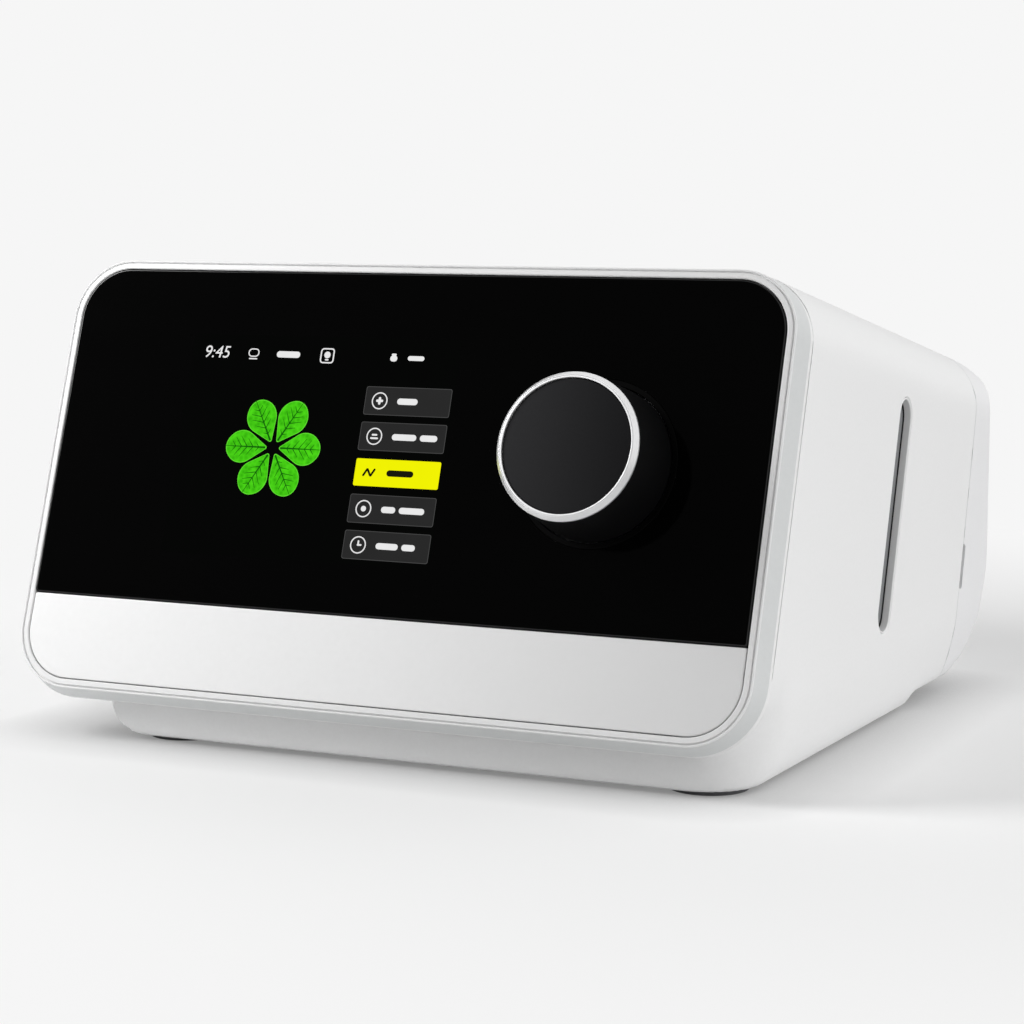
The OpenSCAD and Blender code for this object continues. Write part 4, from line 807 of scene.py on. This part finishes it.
# How strongly a surface mirrors: the dark front parts barely do, metals fully
DIM, NYLON, NYLON_GLOSS, EDGE = ({"Specular IOR Level": share} for share in (0.015, 0.2, 0.03, 0.3))
METAL, HALF_METAL = {"Metallic": 1.0}, {"Metallic": 0.7}
LOOKS = {
    # Injection-moulded ABS with a fine spark-eroded skin: an even white, softly satin
    "shell": finish("moulded_abs_white", "#F1F1F1", 0.42, "#ECECEC", 0.8, 0.006),
    # The rear moulding is the same plastic, a touch duller
    "cover": finish("moulded_abs_rear_white", "#EFEFF0", 0.42, "#EAEAEB", 0.8, 0.006),
    # The front ring is smoother, so that its fine ridge shows as a bright line
    "bezel": finish("moulded_abs_ring", "#F0F0F0", 0.3, "#EBEBEB", 1.2, 0.003),
    # The ring's sloping side: a pale grey with a faint cool tint, darker than the ring, which is painted
    # shade for its slope
    "band": finish("grey_band_painted_shade", "#DCDEDE", 0.34, "#D7D9D9", 1.2, 0.002),
    # The plain panel under the glass: painted, nearly smooth, with a soft sheen; its fade darkens the right
    # half, a painted shade for the soft box's light falling off across it
    "panel": finish("panel_white_painted_shade", "#F4F4F4", 0.35, "#F0F0F0", 1.5, 0.002, fade=("#E4E4E4", 0, 112)),
    # Back-printed acrylic: the print gives black, the acrylic a clean gloss with faint wiping marks
    "glass": finish("back_printed_acrylic", "#020202", 0.07, "#030303", 40, 0, 0.03, stretch=(1, 3, 3),
                    **DIM),
    # The acrylic's polished edge, which catches a thin line of light
    "glass_edge": finish("polished_acrylic_edge", "#0C0C0C", 0.12, "#101010", 5, 0, 0.02, **EDGE),
    # Glass-filled nylon of the knob's side: near black and matt
    "knob": finish("nylon_knob_black", "#060607", 0.45, "#09090A", 0.6, 0.01, **NYLON),
    # The collar is the same nylon, glossier
    "collar": finish("nylon_collar_black", "#020202", 0.3, "#030303", 0.6, 0, **NYLON_GLOSS),
    # The knob's face: anodised aluminium, blasted fine, a satin charcoal; its fade darkens it towards the
    # right, a painted shade for the light from the left
    "cap": finish("anodised_charcoal_painted_shade", "#232324", 0.42, "#272728", 0.35, 0.008, 0.06,
                  fade=("#131314", 40, 84), **METAL),
    # The knob's ring: turned and polished aluminium, with faint lathe lines round it
    "ring": finish("turned_bright_aluminium", "#F4F4F5", 0.32, "#ECECED", 0.3, 0.001, **HALF_METAL),
    # The slot's insert: ABS in mid grey with a matt grain
    "slot": finish("moulded_abs_grey", "#7C7E80", 0.5, "#767879", 0.7, 0.008),
    # The slot's side walls are the white plastic, smoother than the outside
    "slot_wall": finish("moulded_abs_slot_white", "#F2F2F2", 0.36, "#EEEEEE", 0.7, 0.004),
    # Nitrile rubber feet: mid grey, dusty and matt
    "rubber": finish("moulded_nitrile", "#505052", 0.8, "#5A5A5C", 1.1, 0.03),
    # The socket's thermoplastic: black, satin
    "socket": finish("moulded_pbt_black", "#101011", 0.4, "#151516", 0.7, 0.008),
    # The memory card's plastic: near black, satin, with a very fine grain
    "card": finish("moulded_card_plastic", "#1A1A1C", 0.4, "#202022", 0.5, 0.006),
    # The rosette's lit leaf green, with cells about a millimetre across
    "petal": finish("screen_lit_green", "#2FA808", 0.1, "#4FDC18", 1.1, 0, 0, "Voronoi", glow=True, **DIM),
    # Inside: solder mask over copper tracks, about 1.2 mm apart
    "board": finish("solder_mask_green", "#0F5A2C", 0.35, "#1B7A3E", 2.4, 0.02, 0.05, "Brick",
                    settings={"Mortar Size": 0.08, "Color1": (0, 0, 0, 1), "Color2": (0.2, 0.2, 0.2, 1)}),
    # Moulded epoxy of chips and sockets: black, satin
    "parts": finish("epoxy_black", "#17181A", 0.45, "#222326", 1.0, 0.01),
    # Hidden mouldings: unpainted mid grey, matt
    "moulding": finish("moulded_abs_mid_grey", "#A3A5A7", 0.5, "#999B9D", 0.9, 0.01),
    # Natural nylon of the fan and the plunger: a warm white
    "white": finish("moulded_white_nylon", "#DCDCD9", 0.5, "#D2D2CF", 0.9, 0.01),
    # The filter's fleece: a pale, soft mat with cells under a millimetre across
    "filter": finish("polyester_fleece", "#E6E6E2", 0.9, "#D0D0CB", 0.6, 0.15, 0.05, "Voronoi"),
    # Drawn steel: bright, with faint streaks along the draw
    "steel": finish("drawn_steel", "#A2A4A7", 0.3, "#8E9194", 0.4, 0.004, 0.08, stretch=(1, 1, 0.1),
                    **METAL),
    # Enamelled copper: bands as wide as the wire, red brown and shiny
    "copper": finish("enamelled_copper_wire", "#B4622E", 0.3, "#8C431C", 0.5, 0.08, 0.05, "Wave",
                     settings={"bands_direction": "Z"}, **METAL),
    # Open-cell foam: dark, matt, with pores about a millimetre across
    "foam": finish("open_cell_foam", "#4E5052", 0.95, "#2E3032", 1.2, 0.3, 0.03, "Voronoi"),
    # Silicone of the sleeve and the mounts: a smooth blue grey
    "silicone": finish("moulded_silicone", "#8C9398", 0.45, "#7F868B", 0.9, 0.01),
}
# The lit picture, each colour shown as written: its black, the tiles and their rims, white marks, the yellow
# tile and its dark marks, and the petals' pale rims and dark veins. Each has its second tone and its grain
LIT_LOOKS = {
    "tile": ("screen_lit_grey", "#2A2A2A", "#262626", 5),
    "rim": ("screen_lit_grey_line", "#4A4A4A", "#424242", 5),
    "mark": ("screen_lit_white", "#EDEDED", "#E4E4E4", 3),
    "lit": ("screen_lit_yellow", "#F4F400", "#EEF000", 5),
    "ink": ("screen_lit_ink", "#1A1A08", "#12120A", 3),
    "petal_rim": ("screen_lit_pale_green", "#6BE83A", "#58D828", 1.5),
    "vein": ("screen_lit_deep_green", "#0A5A06", "#0F6408", 1.5),
}
LOOKS["screen"] = finish("screen_lit_black", "#020302", 0.07, "#020202", 6, 0, 0, glow=True, **DIM)
for look, (name, colour, second, grain) in LIT_LOOKS.items():
    LOOKS[look] = finish(name, colour, 0.1, second, grain, 0, 0, glow=True, **DIM)
NODE_LOOKS = {
    "board": ("front_board", "main_board", "button_switch", "flow_sensor"),
    "parts": ("board_components", "card_socket", "encoder_body", "speaker", "memory_card", "power_socket"),
    "moulding": ("front_chassis", "blower_base", "blower_lid", "inlet_duct"),
    "white": ("impeller", "push_plunger"),
    "filter": ("air_filter",),
    "steel": ("display_module", "encoder_shaft", "motor_rotor", "motor_can", "shaft_bearings",
              "blower_screws", "case_screws"),
    "copper": ("motor_stator",),
    "foam": ("muffler_foam",),
    "silicone": ("outlet_sleeve", "blower_grommets"),
    "shell": ("main_housing", "base_tray", "start_button", "outlet_port", "lower_panel"),
    "cover": ("rear_cover", "filter_cover"),
    "bezel": ("front_bezel",), "glass": ("display_glass",), "knob": ("knob_body",),
    "collar": ("knob_collar",), "cap": ("knob_cap",), "ring": ("knob_ring",), "slot": ("side_slot_trim",),
    "rubber": ("rubber_feet",),
}
for look, names in NODE_LOOKS.items():
    for name in names:
        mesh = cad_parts[name].data
        mesh.materials.clear()
        mesh.materials.append(LOOKS[look])

# Each new piece: its name, the body it rides on, the nodes it stands for and its finish
PIECES = [
    (housing, "case_shell", "case", ["main_housing"], "shell"),
    (rear, "rear_shell", "case", ["rear_cover"], "cover"),
    (plate, "base_plate", "case", ["base_tray"], "shell"),
    (bezel, "bezel_ring", "case", ["front_bezel"], "bezel"),
    (glass, "front_glass", "case", ["display_glass"], "glass"),
    (panel, "plain_panel", "case", ["lower_panel"], "panel"),
    (collar, "knob_well_ring", "case", ["knob_collar"], "collar"),
    (knob, "knob_barrel", "knob", ["knob_body"], "knob"),
    (ring, "knob_bright_ring", "knob", ["knob_ring"], "ring"),
    (cap, "knob_face", "knob", ["knob_cap"], "cap"),
    (slot_trim, "slot_insert", "case", ["side_slot_trim"], "slot"),
    (button, "start_key_cap", "start_key", ["start_button"], "shell"),
    (outlet, "outlet_spigot", "case", ["outlet_port"], "shell"),
    (cover, "filter_louvre", "filter_door", ["filter_cover"], "cover"),
    (socket, "socket_barrel", "case", ["power_socket"], "socket"),
    (feet, "foot_pads", "case", ["rubber_feet"], "rubber"),
    (card, "card_body", "card", ["memory_card"], "card"),
    (screen, "screen_field", "case", [], "screen"),
    (screen_rims, "screen_tile_rims", "case", [], "rim"),
    (screen_tiles, "screen_tiles", "case", [], "tile"),
    (lit_tile, "screen_lit_tile", "case", [], "lit"),
    (screen_marks, "screen_marks", "case", [], "mark"),
    (screen_dark_marks, "screen_dark_marks", "case", [], "ink"),
    (petal_rims, "screen_petal_rims", "case", [], "petal_rim"),
    (petals, "screen_petals", "case", [], "petal"),
    (petal_veins, "screen_petal_veins", "case", [], "vein"),
]
for obj, name, body, nodes, look in PIECES:
    put(obj, Matrix.Translation(BODY_AT))
    obj.name = obj.data.name = name
    obj.data.materials.clear()
    obj.data.materials.append(LOOKS[look])
    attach(obj, body)
    if nodes:
        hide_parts(*nodes)


def second_finish(obj, look, test):
    """Gives the faces that pass the test, by place and normal, a second finish."""
    obj.data.materials.append(LOOKS[look])
    pick(obj, edit(obj), "faces", test)
    obj.active_material_index = len(obj.data.materials) - 1
    bpy.ops.object.material_slot_assign()
    leave()


face_at = FACE.translation + BODY_AT


def in_face(f):
    """How far a face's middle lies out from the front plane, in millimetres."""
    return (f.calc_center_median() - face_at).dot(OUT_OF_FACE) / MM


# Heights over the front plane of the ring's band and of the glass's edge, and the depth of
# the insert's groove
BAND_AT, GLASS_EDGE_AT, GROOVE_DEEP = (-3.2, -2), (-0.6, -0.01), 0.9
slot_floor_x = (HALF_W - SLOT_DEEP) * MM + BODY_AT.x
# The ring's sloping band takes the darker grey, a painted shade
second_finish(bezel, "band", lambda f: BAND_AT[0] < in_face(f) < BAND_AT[1]
              and f.normal.dot(OUT_OF_FACE) > 0.05)
second_finish(glass, "glass_edge", lambda f: GLASS_EDGE_AT[0] < in_face(f) < GLASS_EDGE_AT[1]
              and f.normal.dot(OUT_OF_FACE) < 0.99)
second_finish(slot_trim, "slot_wall", lambda f: f.calc_center_median().x > slot_floor_x + 0.1 * MM)
# The walls of the groove round the insert's floor take the socket's near black: a painted shadow in the gap
second_finish(slot_trim, "socket", lambda f: abs(f.normal.x) < 0.3
              and slot_floor_x - GROOVE_DEEP * MM < f.calc_center_median().x < slot_floor_x)

# -------- floor, world and lamps
BACKDROP, PAPER, PAPER_UNDER, BOUNCE = "#F6F6F6", "#FCFCFC", "#C4C4C4", "#E4E4E4"
FLOOR_EVEN, EVEN_FROM, EVEN_TO, POOL_R, EVEN_ABOUT = 0.22, 0.13, 0.38, 0.6, (0.06, 0.02, 0)
CONTACT_DARK, CONTACT_REACH, CONTACT_RAYS = 0.25, 0.022, 8
BOX_AT, BOX_TO, BOX_SIZE, BOX_POWER = (-0.42, -0.28, 0.36), (-0.05, -0.09, 0.06), 0.24, 2.75


def floor_paper():
    """White paper sweep. To the camera it is an even white that keeps the shadow near the object and runs
    into the backdrop further off; to the object it is a duller bounce."""
    mat = bpy.data.materials.new("paper_sweep")
    mat.use_nodes = True
    tree = mat.node_tree
    tree.nodes.clear()
    path = add(tree, "ShaderNodeLightPath")
    place = add(tree, "ShaderNodeTexCoord")
    # The paper is greyer under the soft box, which evens out the pool of its light
    foot = add(tree, "ShaderNodeVectorMath", {"operation": "DISTANCE"})
    tree.links.new(place.outputs["Object"], foot.inputs[0])
    foot.inputs[1].default_value = (BOX_AT[0], BOX_AT[1], 0)
    under = add(tree, "ShaderNodeMapRange", {"From Min": 0.0, "From Max": POOL_R},
                Value=foot.outputs["Value"])
    paper = add(tree, "ShaderNodeMixRGB", {"Color1": linear(PAPER_UNDER), "Color2": linear(PAPER)},
                Fac=under.outputs["Result"])
    away = add(tree, "ShaderNodeVectorMath", {"operation": "DISTANCE"})
    tree.links.new(place.outputs["Object"], away.inputs[0])
    away.inputs[1].default_value = EVEN_ABOUT
    fade, glow = (add(tree, "ShaderNodeMapRange", {"interpolation_type": "SMOOTHSTEP", "From Min": EVEN_FROM,
                                                   "From Max": EVEN_TO, "To Min": near, "To Max": far},
                      Value=away.outputs["Value"])
                  for near, far in ((FLOOR_EVEN, 1.0), (1.0, linear(BACKDROP)[0])))
    # The paper's contact shadow: it is darker where the object is close above it
    close = add(tree, "ShaderNodeAmbientOcclusion", {"Distance": CONTACT_REACH, "samples": CONTACT_RAYS})
    depth = add(tree, "ShaderNodeMapRange", {"To Min": CONTACT_DARK}, Value=close.outputs["AO"])
    shaded = add(tree, "ShaderNodeMixRGB", {"blend_type": "MULTIPLY", "Fac": 1.0},
                 Color1=paper.outputs["Color"], Color2=depth.outputs["Result"])
    seen = add(tree, "ShaderNodeBsdfDiffuse", None, Color=shaded.outputs["Color"])
    even = add(tree, "ShaderNodeEmission", None, Color=glow.outputs["Result"])
    sweep = add(tree, "ShaderNodeMixShader", None, Fac=fade.outputs["Result"])
    bounce = add(tree, "ShaderNodeBsdfDiffuse", {"Color": linear(BOUNCE)})
    either = add(tree, "ShaderNodeMixShader", None, Fac=path.outputs["Is Camera Ray"])
    tree.links.new(seen.outputs[0], sweep.inputs[1])
    tree.links.new(even.outputs[0], sweep.inputs[2])
    tree.links.new(bounce.outputs[0], either.inputs[1])
    tree.links.new(sweep.outputs[0], either.inputs[2])
    add(tree, "ShaderNodeOutputMaterial", Surface=either.outputs[0])
    return mat


floor.data.materials.append(floor_paper())

# The sky of the studio: even, with a broad fill from the machine's right and rear
FILL_FROM, SKY, FILL, FILL_TIGHT = (0.9, 0.43, 0.0), 0.2, 2.6, 2.0
world = scene.world or bpy.data.worlds.new("studio")
scene.world = world
world.use_nodes = True
tree = world.node_tree
tree.nodes.clear()
path = add(tree, "ShaderNodeLightPath")
ray = add(tree, "ShaderNodeTexCoord")
facing = add(tree, "ShaderNodeVectorMath", {"operation": "DOT_PRODUCT"})
tree.links.new(ray.outputs["Generated"], facing.inputs[0])
facing.inputs[1].default_value = FILL_FROM
front_only = add(tree, "ShaderNodeMath", {"operation": "MAXIMUM"})
tree.links.new(facing.outputs["Value"], front_only.inputs[0])
front_only.inputs[1].default_value = 0.0
lobe = add(tree, "ShaderNodeMath", {"operation": "POWER"})
tree.links.new(front_only.outputs["Value"], lobe.inputs[0])
lobe.inputs[1].default_value = FILL_TIGHT
level = add(tree, "ShaderNodeMapRange", {"To Min": SKY, "To Max": SKY + FILL}, Value=lobe.outputs["Value"])
lit = add(tree, "ShaderNodeBackground", {"Color": (1, 1, 1, 1)}, Strength=level.outputs["Result"])
seen = add(tree, "ShaderNodeBackground", {"Color": linear(BACKDROP), "Strength": 1.0})
direct = add(tree, "ShaderNodeMath", {"operation": "MAXIMUM"})
tree.links.new(path.outputs["Is Camera Ray"], direct.inputs[0])
tree.links.new(path.outputs["Is Glossy Ray"], direct.inputs[1])
mix = add(tree, "ShaderNodeMixShader", None, Fac=direct.outputs["Value"])
tree.links.new(lit.outputs[0], mix.inputs[1])
tree.links.new(seen.outputs[0], mix.inputs[2])
add(tree, "ShaderNodeOutputWorld", None, Surface=mix.outputs[0])

# A soft box to the left front, near enough to fade across the panel
bpy.ops.object.light_add(type="AREA")
soft_box = bpy.context.object
soft_box.name = "soft_box"
soft_box.data.shape = "SQUARE"
soft_box.data.size = BOX_SIZE
soft_box.data.energy = BOX_POWER
soft_box.visible_camera = False
soft_box.matrix_world = (Matrix.Translation(BOX_AT)
                         @ (Vector(BOX_TO) - Vector(BOX_AT)).to_track_quat("-Z", "Y").to_matrix().to_4x4())
